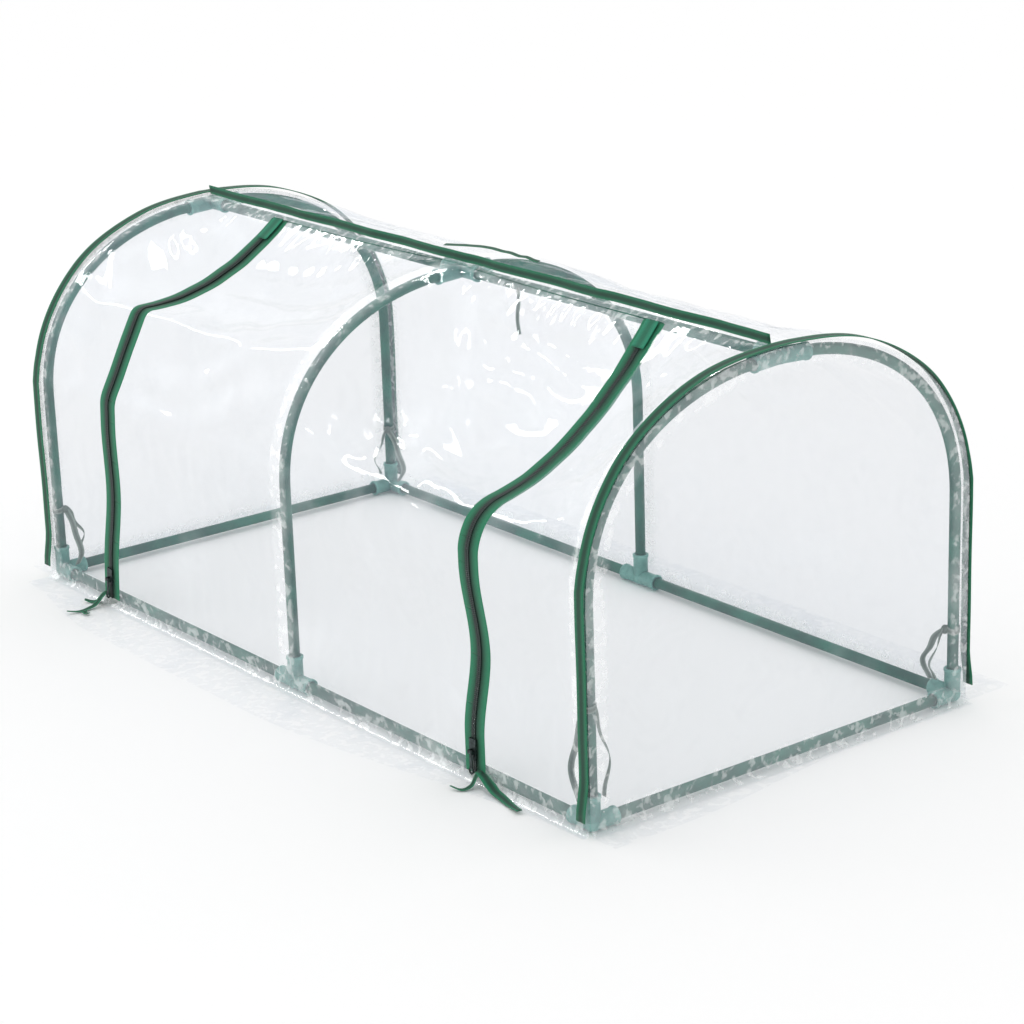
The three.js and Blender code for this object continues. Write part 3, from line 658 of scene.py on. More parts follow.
# Cover surface ---------------------------------------------------------------------------------------


def lerp(a: float, b: float, share: float) -> float:
    """The value a share of the way from a to b."""
    return a + (b - a) * share


def smooth_step(value: float, low: float, high: float) -> float:
    """A smooth rise from 0 at low to 1 at high."""
    share = min(max((value - low) / (high - low), 0.0), 1.0)
    return share * share * (3 - 2 * share)


def drift(first: float, second: float, plane: float) -> float:
    """Smooth noise from -1 to 1 at two measures, on a plane of its own for each use."""
    return noise.noise(Vector((first, second, plane)))


class Profile:
    """A line in the Y-Z plane that is read by its share of its length."""

    def __init__(self, points: Sequence[tuple[float, float]]) -> None:
        """Measures the line.

        Args:
            points: Distances from the middle plane and heights.
        """
        self.points = list(points)
        self.runs = [0.0]
        for a, b in zip(self.points, self.points[1:]):
            self.runs.append(self.runs[-1] + math.dist(a, b))

    @property
    def length(self) -> float:
        """The line's whole length."""
        return self.runs[-1]

    def at(self, share: float) -> tuple[float, float]:
        """The point a share of the way along.

        Args:
            share: From 0 to 1.

        Returns:
            Distance from the middle plane, and height.
        """
        run = min(max(share, 0.0), 1.0) * self.length
        low, high = 0, len(self.runs) - 1
        while high - low > 1:
            middle = (low + high) // 2
            if self.runs[middle] <= run:
                low = middle
            else:
                high = middle
        part = (run - self.runs[low]) / max(self.runs[high] - self.runs[low], 1e-9)
        (y0, z0), (y1, z1) = self.points[low], self.points[high]
        return lerp(y0, y1, part), lerp(z0, z1, part)


@dataclass(frozen=True)
class Sag:
    """How the film hangs beside one zip."""

    knee_inset: float
    knee_rise: float
    droop: float
    zip_offset: float
    zip_splay: float
    belly: float
    knee_round: float


@dataclass(frozen=True)
class Waves:
    """How far each kind of small wave stands out of the film, in metres, and how often it comes.

    ruffle_fade is how fast the ruffles die away down the roof, and beside_zip is the share of the roof's waves
    that is left beside a zip.
    """

    ruffle: float = 0.0016
    ruffle_turns: float = 230
    ruffle_fade: float = 8
    swag: float = 0.0034
    swag_turns: float = 34
    wander: float = 0.005
    roof_crease: float = 0.002
    beside_zip: float = 0.12
    fold: float = 0.0032
    wall_crease: float = 0.0016
    rumple: float = 0.0016


@dataclass(frozen=True)
class Grip:
    """The pairs of numbers between which a tube's hold on the film changes.

    The hold is full at the first of hoop, base and ridge, and gone at the second. It grows from the first of
    crown and rim to the second. Between those of ground the film comes to lie loose on the ground, where it is
    drawn clearer as painted light that lifts the shade it lies in. All are metres, but for rim, which is a
    share of the way from the arch's middle to its line. The hold sets where the film's glint is painted.
    """

    hoop: tuple[float, float] = (0.012, 0.021)
    base: tuple[float, float] = (0.024, 0.034)
    ridge: tuple[float, float] = (0.020, 0.031)
    crown: tuple[float, float] = (0.40, 0.45)
    rim: tuple[float, float] = (0.84, 0.92)
    ground: tuple[float, float] = (0.004, 0.012)


@dataclass
class House:
    """The sizes the frame and cover share, and the cover's surface."""

    length: float = 1.18
    width: float = 0.576
    ridge_rise: float = 0.486
    leg_rise: float = 0.253
    arch_exponent: float = 2.18
    tube_radius: float = 0.007
    connector_radius: float = 0.010
    lip_radius: float = 0.011
    film_offset: float = 0.012
    seam_out: float = 0.014
    wall_height: float = 0.300
    foot_radius: float = 0.008
    foot_height: float = 0.0086
    skirt_width: float = 0.080
    sag_exponent: float = 2.4
    back_sag: float = 0.15
    splay_height: float = 0.420
    crown_arm: float = 0.042
    # Below 0 the film on the ground is drawn clearer than open film: painted light that lifts the shade it
    # lies in.
    loose: float = -0.7
    ground_z: float = 0.0006
    foot_share: float = 0.3
    bend_steps: int = 40
    waves: Waves = Waves()
    grip: Grip = Grip()
    sags: dict[End, Sag] = field(
        default_factory=lambda: {
            End.LEFT: Sag(0.054, 0.604, 0.025, 0.395, 0.040, 0.006, 0.025),
            End.RIGHT: Sag(0.025, 0.1777, 0.036, 0.392, 0.0, 0.013, 0.055),
        }
    )

    def __post_init__(self) -> None:
        """Works out the lines that every cover piece reads."""
        self.half_length = self.length / 2
        self.half_width = self.width / 2
        self.base_z = self.lip_radius
        self.ridge_z = self.base_z + self.ridge_rise
        self.leg_top = self.base_z + self.leg_rise
        self.wall_y = self.half_width + self.film_offset
        self.end_x = self.half_length + self.film_offset
        self.hoop_roof = self._hoop_roof()
        self.bay_roofs = {end: self._bay_roof(sag) for end, sag in self.sags.items()}

    def arch(self, turn: float) -> tuple[float, float]:
        """A point of a hoop's centre line.

        Args:
            turn: 0 at the leg's top, 1 at the ridge.

        Returns:
            Distance from the middle plane, and height.
        """
        angle, power = turn * math.pi / 2, 2 / self.arch_exponent
        out = self.half_width * max(math.cos(angle), 0.0) ** power
        return out, self.leg_top + (self.ridge_rise - self.leg_rise) * math.sin(angle) ** power

    def offset_arch(self, offset: float, steps: int = 120) -> list[tuple[float, float]]:
        """The hoop's line moved outwards, from the leg's top to the ridge.

        Args:
            offset: How far out.
            steps: Steps along it.

        Returns:
            Its points.
        """
        centre = [self.arch(i / steps) for i in range(steps + 1)]
        made = []
        for i, (y, z) in enumerate(centre):
            a, b = centre[max(i - 1, 0)], centre[min(i + 1, steps)]
            run = math.dist(a, b)
            out = ((b[1] - a[1]) / run, (a[0] - b[0]) / run)
            if i == 0:
                out = (1.0, 0.0)
            if i == steps:
                out = (0.0, 1.0)
            made.append((y + out[0] * offset, z + out[1] * offset))
        return made

    def _hoop_roof(self) -> Profile:
        """The roof line over a hoop, from the seam to the top of the wall.

        Returns:
            The line.
        """
        line = self.offset_arch(self.film_offset)[::-1]
        kept = [p for p in line if p[0] > self.seam_out and p[1] > self.wall_height]
        first = (self.seam_out, kept[0][1] + 0.0003)
        return Profile([first, *kept, (self.wall_y, self.wall_height)])

    def _bay_roof(self, sag: Sag) -> Profile:
        """The roof line beside a zip: a droop to the knee, then down to the wall.

        Args:
            sag: How the film hangs beside the zip.

        Returns:
            The line.
        """
        seam = (self.seam_out, self.ridge_z + self.tube_radius)
        knee = (self.wall_y - sag.knee_inset, lerp(self.wall_height, self.ridge_z, sag.knee_rise))
        pull = ((seam[0] + knee[0]) / 2, (seam[1] + knee[1]) / 2 - 2 * sag.droop)
        bend = []
        for i in range(self.bend_steps + 1):
            t = i / self.bend_steps
            shares = ((1 - t) ** 2, 2 * t * (1 - t), t * t)
            ends = zip(seam, pull, knee)
            bend.append(tuple(shares[0] * a + shares[1] * b + shares[2] * c for a, b, c in ends))
        return Profile([*bend, (self.wall_y, self.wall_height)])

    def sag_share(self, x: float) -> float:
        """How far the film has left the hoops: 0 over one, 1 midway between two.

        Args:
            x: Where along the house.

        Returns:
            The share.
        """
        hold = self.lip_radius + 0.0004
        across = min(max((abs(x) - hold) / (self.half_length - 2 * hold), 0.0), 1.0)
        return 1 - abs(2 * across - 1) ** self.sag_exponent

    def roof(self, x: float, side: Side, drop: float) -> tuple[float, float]:
        """The roof line at x.

        Args:
            x: Where along the house.
            side: Front or back.
            drop: 0 at the seam, 1 at the top of the wall.

        Returns:
            Distance from the middle plane, and height.
        """
        end = End.LEFT if x < 0 else End.RIGHT
        slack = 1.0 if side is Side.FRONT else self.back_sag
        share = slack * self.sag_share(x) / self.sag_share(self.sags[end].zip_offset)
        a, b = self.hoop_roof.at(drop), self.bay_roofs[end].at(drop)
        return lerp(a[0], b[0], share), lerp(a[1], b[1], share)

    def section(self, x: float, side: Side, drop: float) -> tuple[float, float]:
        """The cover's middle line at x, its corners rounded as film takes them.

        Args:
            x: Where along the house.
            side: Front or back.
            drop: Roof to 1, wall to 2, foot and skirt to 3.

        Returns:
            Distance from the middle plane, and height.
        """
        round_by = self.sags[End.LEFT if x < 0 else End.RIGHT].knee_round
        reach = min(round_by, drop, max(2 - drop, 0.0))
        if reach <= 0:
            return self._sharp_section(x, side, drop)
        near = [self._sharp_section(x, side, drop + reach * k / 3) for k in range(-3, 4)]
        return sum(p[0] for p in near) / len(near), sum(p[1] for p in near) / len(near)

    def _sharp_section(self, x: float, side: Side, drop: float) -> tuple[float, float]:
        """The cover's middle line before its corners are rounded.

        Args:
            x: Where along the house.
            side: Front or back.
            drop: Down the cover: roof to 1, wall to 2, foot and skirt to 3.

        Returns:
            Distance from the middle plane, and height.
        """
        if drop <= 1:
            return self.roof(x, side, drop)
        if drop <= 2:
            return self.wall_y, lerp(self.wall_height, self.foot_height, drop - 1)
        return self.skirt(x, side, drop - 2)

    def skirt_reach(self, x: float, side: Side) -> float:
        """How far the skirt lies out past the wall, which varies as it was left lying.

        Args:
            x: Where along the house.
            side: Front or back.

        Returns:
            Metres out past the wall.
        """
        if side is Side.BACK:
            return self.skirt_width
        fall = smooth_step(x, 0.02, self.half_length)
        rise = smooth_step(x, -self.half_length - 0.02, -0.36)
        return self.skirt_width * (0.5 + 0.5 * rise) * (1 - 0.86 * fall)

    def skirt(self, x: float, side: Side, share: float) -> tuple[float, float]:
        """The foot's quarter round, then out along the ground.

        Args:
            x: Where along the house.
            side: Front or back.
            share: The share of the foot and skirt, from 0 to 1.

        Returns:
            Distance from the middle plane, and height.
        """
        if share < self.foot_share:
            angle = share / self.foot_share * math.pi / 2
            out = self.wall_y + self.foot_radius * (1 - math.cos(angle))
            return out, self.foot_height - self.foot_radius * math.sin(angle)
        flat = (share - self.foot_share) / (1 - self.foot_share)
        reach = max(self.skirt_reach(x, side), self.foot_radius * 1.4)
        return lerp(self.wall_y + self.foot_radius, self.wall_y + reach, flat), self.ground_z

    def tightness(self, point: Vector) -> float:
        """How tightly a tube pulls the side film, which sets where its glint is painted, or below 0 where it
        lies loose on the ground and is drawn clearer, a painted light that lifts the shade there.

        Args:
            point: A point of the film.

        Returns:
            1 where a tube holds it, 0 where it is free, below 0 on the ground.
        """
        gap = min(abs(point.x - hoop) for hoop in (-self.half_length, 0.0, self.half_length))
        hoop = 1 - smooth_step(gap, *self.grip.hoop)
        base = 1 - smooth_step(point.z, *self.grip.base)
        ridge = 1 - smooth_step(abs(point.y), *self.grip.ridge)
        ridge *= smooth_step(point.z, *self.grip.crown)
        on_ground = smooth_step(abs(point.y) - self.wall_y, *self.grip.ground)
        return lerp(max(hoop, base, ridge), self.loose, on_ground)

    def end_tightness(self, point: Vector) -> float:
        """How tightly a tube pulls an end film, which sets where its glint is painted, or below 0 where it
        lies loose on the ground and is drawn clearer, a painted light that lifts the shade there.

        Args:
            point: A point of the film.

        Returns:
            1 where a tube holds it, 0 where it is free, below 0 on the ground.
        """
        out = (abs(point.y) / self.half_width) ** self.arch_exponent
        up = (max(point.z - self.leg_top, 0.0) / (self.ridge_rise - self.leg_rise)) ** self.arch_exponent
        rim = smooth_step(out + up, *self.grip.rim)
        base = 1 - smooth_step(point.z, *self.grip.base)
        on_ground = smooth_step(abs(point.x) - self.end_x, *self.grip.ground)
        return lerp(max(rim, base), self.loose, on_ground)

    def zip_x(self, end: End, drop: float) -> float:
        """The zip's middle line: x for a drop, splaying outwards lower down.

        Args:
            end: Which end of the house.
            drop: Down the cover: roof to 1, wall to 2, foot and skirt to 3.

        Returns:
            The line's x.
        """
        sag = self.sags[end]
        height = self.section(end.value * sag.zip_offset, Side.FRONT, drop)[1]
        fall = max(1 - height / self.splay_height, 0.0)
        return end.value * (sag.zip_offset + sag.zip_splay * fall)

    def ripple(self, x: float, side: Side, drop: float) -> float:
        """How far the film stands off its drape: swags, ruffles at the ridge and pulled creases.

        Args:
            x: Where along the house.
            side: Front or back.
            drop: Down the cover.

        Returns:
            Metres, outwards.
        """
        if drop > 2:
            return 0.0
        held = min(self.sag_share(x) * 3.0, 1.0)
        return held * (self._roof_ripple(x, side, drop) if drop <= 1 else self._wall_ripple(x, side, drop))

    def clear_of_zips(self, x: float) -> float:
        """How free the front film is of a zip's pull: 0 at a zip, 1 well away from both."""
        zips = [end.value * (sag.zip_offset + sag.zip_splay * 0.4) for end, sag in self.sags.items()]
        return smooth_step(min(abs(x - middle) for middle in zips), 0.03, 0.09)

    def _roof_ripple(self, x: float, side: Side, drop: float) -> float:
        """The roof's share of the ripple, which is pulled flat beside the zips.

        Args:
            x: Where along the house.
            side: Front or back.
            drop: Down the cover: roof to 1, wall to 2, foot and skirt to 3.

        Returns:
            Metres, outwards.
        """
        waves = self.waves
        hold = smooth_step(drop, 0.0, 0.05) * (1 - smooth_step(drop, 0.95, 1.0))
        if side is Side.FRONT:
            hold *= lerp(waves.beside_zip, 1, self.clear_of_zips(x))
        wander = drift(x * 6, drop * 3, side.value * 5.0)
        ruffle_turn = x * waves.ruffle_turns + 5 * drift(x * 13, drop * 4, 2.0)
        ruffle = waves.ruffle * math.sin(ruffle_turn) * math.exp(-drop * waves.ruffle_fade)
        bay = abs(x) / self.half_length
        hang = drop - 0.9 * bay * (1 - bay)
        swag_size = waves.swag * (0.35 + 1.3 * abs(drift(x * 5, drop * 2, 17.0)))
        swag = swag_size * math.sin(hang * waves.swag_turns + 4.5 * wander)
        pull = abs(drift(x * 24 - drop * 10, drop * 5, 7.0))
        return hold * (ruffle + swag + waves.wander * wander + waves.roof_crease * (0.5 - 2 * pull))

    def _wall_ripple(self, x: float, side: Side, drop: float) -> float:
        """The wall's share of the ripple.

        Args:
            x: Where along the house.
            side: Front or back.
            drop: Down the cover: roof to 1, wall to 2, foot and skirt to 3.

        Returns:
            Metres, outwards.
        """
        height = lerp(self.wall_height, self.foot_height, drop - 1)
        hold = smooth_step(drop, 1.0, 1.08) * (1 - smooth_step(drop, 1.92, 2.0))
        end = End.LEFT if x < 0 else End.RIGHT
        belly, slack = 0.0, 1.0
        if side is Side.FRONT:
            window = smooth_step(height, 0.06, 0.16) * (1 - smooth_step(height, 0.16, 0.27))
            belly = -self.sags[end].belly * window
            slack = self.clear_of_zips(x)
        slant = x + (drop - 1) * 0.05
        folds = self.waves.fold * drift(slant * 10, drop * 1.6, 11.0 + side.value)
        pull = abs(drift(slant * 30 - drop * 2, drop * 3.5, 3.0))
        return hold * (belly + slack * (folds + self.waves.wall_crease * (0.5 - 2 * pull)))

    def cover(self, x: float, side: Side, drop: float, lift: float = 0.0) -> Vector:
        """A point of the cover.

        Args:
            x: Where along the house.
            side: Front or back.
            drop: Down the cover.
            lift: How far outside the film it lies.

        Returns:
            The point.
        """
        y, z = self.section(x, side, drop)
        low, high = self.section(x, side, min(drop + 0.01, 3)), self.section(x, side, max(drop - 0.01, 0))
        dy, dz = low[0] - high[0], low[1] - high[1]
        run = math.hypot(dy, dz) or 1.0
        out = lift + self.ripple(x, side, drop)
        on_ground = drop - (2 + self.foot_share)
        if on_ground > 0:
            lifted = max(z + lift, self.ground_z)
            rumple = self.waves.rumple * abs(drift(x * 7, y * 60, 4.0)) * on_ground
            return Vector((x, side.value * y, lifted + rumple))
        return Vector((x, side.value * (y - out * dz / run), z + out * dy / run))

    def ridge(self, x: float, y: float, lift: float = 0.0) -> Vector:
        """A point of the cover over the ridge, between the two seams.

        Args:
            x: Where along the house.
            y: Distance from the middle plane, below 0 in front.
            lift: How far outside the film it lies.

        Returns:
            The point.
        """
        seam = self.section(x, Side.FRONT if y < 0 else Side.BACK, 0)
        top = self.ridge_z + self.film_offset
        return Vector((x, y, top - (top - seam[1]) * (y / seam[0]) ** 2 + lift))


# Frame -----------------------------------------------------------------------------------------------


@dataclass
class TubeFrame:
    """The push-fit frame: straight tubes, hoops and their moulded connectors."""

    house: House
    tube_start: float = 0.0084
    arm_length: float = 0.034
    lip_length: float = 0.004
    hub_radius: float = 0.0105
    web_reach: float = 0.019
    web_thickness: float = 0.003
    bore_clearance: float = 0.0004
    lip_bevel: float = 0.0006
    sides: int = 28
    arch_steps: int = 90

    def build(self) -> None:
        """Builds every tube and connector."""
        self._straight_tubes()
        self._hoops()
        self._connectors()

    def _place(self, name: str, bm: bmesh.types.BMesh, finish: Finish) -> None:
        """Finishes a piece that stands for the CAD node of the same name.

        Args:
            name: The CAD node that it stands for.
            bm: The mesh, which is freed.
            finish: What it is made of.
        """
        piece = finished_object(f"{name}_finished", bm, finish)
        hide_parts(name)
        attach(piece, FRAME_BODY)

    def _tube(self, name: str, points: Sequence[Vector]) -> None:
        """Sweeps one tube along its centre line.

        Args:
            name: The CAD node that it stands for.
            points: Its centre line.
        """
        bm = bmesh.new()
        level = abs(points[0].y - points[-1].y) < SMALLEST
        aside = Vector((0, 1, 0)) if level else ALONG_HOUSE
        sweep(bm, circle(self.house.tube_radius, self.sides), run_frames(points, lambda i: aside))
        self._place(name, bm, TUBE_FINISH)

    def _straight_tubes(self) -> None:
        """The base rails and the ridge."""
        h = self.house
        for end in End:
            near, far = end.value * self.tube_start, end.value * (h.half_length - self.tube_start)
            for side in Side:
                y = side.value * h.half_width
                rail = [Vector((x, y, h.base_z)) for x in (near, far)]
                self._tube(f"{side.word}_{end.word}_base_tube", rail)
            reach, x = h.half_width - self.tube_start, end.value * h.half_length
            rail = [Vector((x, y, h.base_z)) for y in (-reach, reach)]
            self._tube(f"{end.word}_end_base_tube", rail)
            ridge = [Vector((x, 0, h.ridge_z)) for x in (near, far)]
            self._tube(f"{end.word}_ridge_tube", ridge)

    @property
    def crown(self) -> tuple[float, float, float]:
        """Where a hoop's arch meets its straight crown: distance out, height and slope.

        Returns:
            Distance out, height and slope.
        """
        h = self.house
        reach = h.crown_arm + 2 * h.tube_radius
        share = 1 - (reach / h.half_width) ** h.arch_exponent
        height = h.leg_top + (h.ridge_rise - h.leg_rise) * share ** (1 / h.arch_exponent)
        return reach, height, (h.ridge_z - height) / reach

    def _hoops(self) -> None:
        """Six half hoops: a straight leg, the arch and a straight run into the crown connector."""
        h = self.house
        reach, height, slope = self.crown
        steps = self.arch_steps
        arch = [p for p in (h.arch(i / steps) for i in range(steps + 1)) if p[0] > reach + 0.004]
        line = [(h.half_width, h.base_z + self.tube_start), *arch, (reach, height)]
        line.append((self.tube_start, h.ridge_z - self.tube_start * slope))
        for word, x in (("left", -h.half_length), ("middle", 0.0), ("right", h.half_length)):
            for side in Side:
                points = [Vector((x, side.value * y, z)) for y, z in line]
                self._tube(f"{word}_hoop_{side.word}_half", points)

    def _arm(self, bm: bmesh.types.BMesh, centre: Vector, direction: Vector, length: float) -> None:
        """Adds one socket arm: a barrel with a raised lip round its mouth.

        Args:
            bm: The mesh to add to.
            centre: The hub's centre.
            direction: Which way the arm points.
            length: The arm's length.
        """
        h = self.house
        lip, bevel = h.lip_radius, self.lip_bevel
        bore = h.tube_radius + self.bore_clearance
        lip_foot = length - self.lip_length
        steps = [
            (0.0, 0.0),
            (0.0, h.connector_radius),
            (lip_foot - bevel, h.connector_radius),
            (lip_foot, lip - 0.0003),
            (lip_foot + 0.0005, lip),
            (length - bevel, lip),
            (length, lip - 0.0007),
            (length, bore),
            (self.tube_start, bore),
            (self.tube_start, 0.0),
        ]
        turn = UP.rotation_difference(direction).to_matrix().to_4x4()
        spot = Matrix.Translation(centre) @ turn
        before = set(bm.verts)
        ring = [bm.verts.new((radius, 0, run)) for run, radius in steps]
        edges = [bm.edges.new(pair) for pair in zip(ring, ring[1:])]
        bmesh.ops.spin(
            bm,
            geom=ring + edges,
            cent=(0, 0, 0),
            axis=(0, 0, 1),
            angle=2 * math.pi,
            steps=self.sides,
            use_merge=True,
        )
        arm = [vert for vert in bm.verts if vert not in before]
        bmesh.ops.remove_doubles(bm, verts=arm, dist=SMALLEST)
        arm = [vert for vert in bm.verts if vert not in before]
        bmesh.ops.transform(bm, matrix=spot, verts=arm)

    def _web(self, bm: bmesh.types.BMesh, centre: Vector, arm: Vector) -> None:
        """Adds the triangular web between a level arm and the upright one.

        Args:
            bm: The mesh to add to.
            centre: The hub's centre.
            arm: The level arm's direction.
        """
        aside = arm.cross(UP) * (self.web_thickness / 2)
        reach = self.web_reach
        corners = [centre - aside, centre + arm * reach - aside, centre + UP * reach - aside]
        face = bm.faces.new([bm.verts.new(c) for c in corners])
        made = bmesh.ops.extrude_face_region(bm, geom=[face])["geom"]
        verts = [g for g in made if isinstance(g, bmesh.types.BMVert)]
        bmesh.ops.translate(bm, vec=aside * 2, verts=verts)

    def _connector(
        self, name: str, centre: Vector, arms: Sequence[tuple[Vector, float]], webs: Sequence[Vector]
    ) -> None:
        """Builds one connector round its hub.

        Args:
            name: The CAD node that it stands for.
            centre: The hub's centre.
            arms: Each arm's direction and length.
            webs: The level arms that have a web.
        """
        bm = bmesh.new()
        bmesh.ops.create_uvsphere(
            bm,
            u_segments=self.sides,
            v_segments=self.sides // 2,
            radius=self.hub_radius,
            matrix=Matrix.Translation(centre),
        )
        for direction, length in arms:
            self._arm(bm, centre, direction, length)
        for arm in webs:
            self._web(bm, centre, arm)
        bmesh.ops.recalc_face_normals(bm, faces=bm.faces)
        self._place(name, bm, CONNECTOR_FINISH)

    def _connectors(self) -> None:
        """Four corners, two tees and three ridge pieces."""
        h = self.house
        along = ALONG_HOUSE
        for side in Side:
            for end in End:
                level = [along * -end.value, Vector((0, -side.value, 0))]
                centre = Vector((end.value * h.half_length, side.value * h.half_width, h.base_z))
                arms = [(a, self.arm_length) for a in (*level, UP)]
                self._connector(f"{side.word}_{end.word}_corner_connector", centre, arms, level)
            level = [along, -along]
            centre = Vector((0, side.value * h.half_width, h.base_z))
            arms = [(a, self.arm_length) for a in (*level, UP)]
            self._connector(f"{side.word}_middle_tee_connector", centre, arms, level)
        slope = self.crown[2]
        down = [Vector((0, s, -slope)).normalized() for s in (-1, 1)]
        for word, x, ways in (
            ("left", -h.half_length, [along]),
            ("middle", 0.0, [along, -along]),
            ("right", h.half_length, [-along]),
        ):
            arms = [(d, h.crown_arm) for d in down] + [(w, self.arm_length) for w in ways]
            self._connector(f"{word}_ridge_connector", Vector((x, 0, h.ridge_z)), arms, [])


# Cover -----------------------------------------------------------------------------------------------


@dataclass
class Cover:
    """The fixed part of the film cover, with its bindings and the fixed halves of the zips."""

    house: House
    tape_width: float = 0.018
    slit: float = 0.002
    tape_thickness: float = 0.0009
    coil: tuple[float, float] = (0.003, 0.0018)
    binding_width: float = 0.016
    binding_thickness: float = 0.0012
    binding_lift: float = 0.003
    seam_stand: float = 0.008
    stand_height: float = 0.013
    tab_width: float = 0.022
    tab_length: float = 0.038
    tape_overlap: float = 0.002
    coil_lift: float = 0.0011
    coil_offset: float = 0.0017
    coil_start: float = 0.03
    tape_start: float = 0.004
    tape_end: float = 1.99
    clearance: float = 0.0012
    arch_stand: float = 0.0035
    ridge_steps: int = 240
    ridge_share: float = 0.03
    end_share: float = 0.88
    end_skirts: dict[End, float] = field(default_factory=lambda: {End.LEFT: 0.055, End.RIGHT: 0.042})

    def build(self) -> None:
        """Builds every fixed piece of the cover."""
        for end in End:
            self._front_film(end)
            self._end_film(end)
            self._arch_binding(end)
            self._fixed_tape(end)
            self._top_tab(end)
            self._zip_tails(end)
        self._roof_and_back()
        self._ridge_binding()

    def declare(self, piece: bpy.types.Object, width: float, length: float, held: str, *nodes: str) -> None:
        """Hides the CAD nodes that a film stands for.

        Args:
            piece: The piece; it is not used.
            width: Its flat width; it is not used.
            length: Its flat length; it is not used.
            held: How it is held; it is not used.
            nodes: The CAD nodes that it stands for.
        """
        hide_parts(*nodes)

    @property
    def run_down(self) -> float:
        """The cover's usual length from the seam to the hem."""
        h = self.house
        return h.hoop_roof.length + h.wall_height + h.skirt_width

    def film_gap(self, drop: float) -> float:
        """From a zip's middle to the film's edge: under the tape, but nearly closed on the skirt."""
        sewn = self.slit / 2 + self.tape_width - self.tape_overlap
        return lerp(sewn, self.slit / 2, smooth_step(drop, 1.97, 2.2))

    def _front_film(self, end: End) -> None:
        """The film between a zip and its end arch.

        Args:
            end: Which end of the house.
        """
        h = self.house
        outer = end.value * (h.end_x - self.clearance)

        def point_at(u: float, v: float) -> Vector:
            """A point of the film at a share outwards and a share down.

            Args:
                u: The share across, from 0 to 1.
                v: The share down, from 0 to 1.

            Returns:
                The point.
            """
            drop = 3 * v
            inner = h.zip_x(end, drop) + end.value * self.film_gap(drop)
            return h.cover(lerp(inner, outer, u), Side.FRONT, drop)

        sheet = sheet_mesh(point_at, columns=56, rows=210, tight_at=h.tightness)
        piece = finished_object(f"front_{end.word}_clear_film", sheet, FILM_FINISH)
        self.declare(piece, 0.19, self.run_down, "stretched", f"front_{end.word}_film")
        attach(piece, FRAME_BODY)

    def _roof_and_back(self) -> None:
        """One film from the front seam over the ridge and down the back."""
        h = self.house
        outer = h.end_x - self.clearance
        top = self.ridge_share

        def point_at(u: float, v: float) -> Vector:
            """A point of the film at a share along the house and a share from the front seam down the back.

            Args:
                u: The share along, from 0 to 1.
                v: The share down, from 0 to 1.

            Returns:
                The point.
            """
            x = lerp(-outer, outer, u)
            if v < top:
                return h.ridge(x, lerp(-h.seam_out, h.seam_out, v / top))
            return h.cover(x, Side.BACK, 3 * (v - top) / (1 - top))

        sheet = sheet_mesh(point_at, columns=280, rows=180, tight_at=h.tightness)
        piece = finished_object("roof_and_back_clear_film", sheet, FILM_FINISH)
        self.declare(piece, 2 * outer, self.run_down + 2 * h.seam_out, "stretched", "roof_and_back_film")
        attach(piece, FRAME_BODY)

    def _end_film(self, end: End) -> None:
        """The film that closes an arch, with its skirt out along the ground.

        Args:
            end: Which end of the house.
        """
        h = self.house
        arch = h.offset_arch(h.film_offset)
        half, foot = h.wall_y, 0.0008
        climb = [(-y, z) for y, z in arch]
        descend = [(y, z) for y, z in arch[::-1][1:]]
        outline = Profile([(-half, foot), *climb, *descend, (half, foot)])
        skirt = self.end_skirts[end]
        wall_share = self.end_share

        def top_at(y: float) -> float:
            """The outline's height at a distance across, found by halving.

            Args:
                y: The distance from the middle plane.

            Returns:
                The height.
            """
            low, high = (0.0, 0.5) if y <= 0 else (1.0, 0.5)
            for _ in range(30):
                middle = (low + high) / 2
                if abs(outline.at(middle)[0]) > abs(y):
                    low = middle
                else:
                    high = middle
            return outline.at((low + high) / 2)[1]

        def wall_point(y: float, v: float) -> Vector:
            """A point of the upright film, which waves a little away from its rim.

            Args:
                y: The distance from the middle plane.
                v: The share down the sheet.

            Returns:
                The point.
            """
            top = top_at(max(min(y, half - 1e-4), -half + 1e-4))
            z = lerp(max(top, 0.012), 0.008, v / wall_share)
            inside = min(smooth_step(half - abs(y), 0.0, 0.08), smooth_step(top - z, 0.0, 0.08))
            foot_hold = smooth_step(z, 0.01, 0.06)
            wave = 0.006 * drift(y * 6, z * 5, 20 + end.value)
            wave += 0.0022 * drift(y * 22 + z * 9, z * 15, 31.0)
            return Vector((end.value * (h.end_x + inside * foot_hold * wave), y, z))

        def skirt_point(y: float, v: float) -> Vector:
            """A point of the skirt, which was left narrower towards the back of the right end.

            Args:
                y: The distance from the middle plane.
                v: The share down the sheet.

            Returns:
                The point.
            """
            out = (v - wall_share) / (1 - wall_share)
            reach = skirt * (1 - 0.7 * smooth_step(y, -0.2, 0.1)) if end is End.RIGHT else skirt
            rumple = 0.0015 * abs(drift(y * 9, out * 3, 5.0)) * out
            height = lerp(0.008, 0.0007, min(out * 4, 1)) + rumple
            return Vector((end.value * (h.end_x + out * reach), y, height))

        def point_at(u: float, v: float) -> Vector:
            """A point of the end's film at a share across and a share down."""
            y = lerp(-half, half, 0.5 - 0.5 * math.cos(math.pi * u))
            return wall_point(y, v) if v < wall_share else skirt_point(y, v)

        sheet = sheet_mesh(point_at, columns=110, rows=110, tight_at=h.end_tightness)
        piece = finished_object(f"{end.word}_end_clear_film", sheet, FILM_FINISH)
        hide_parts(f"{end.word}_end_film")
        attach(piece, FRAME_BODY)

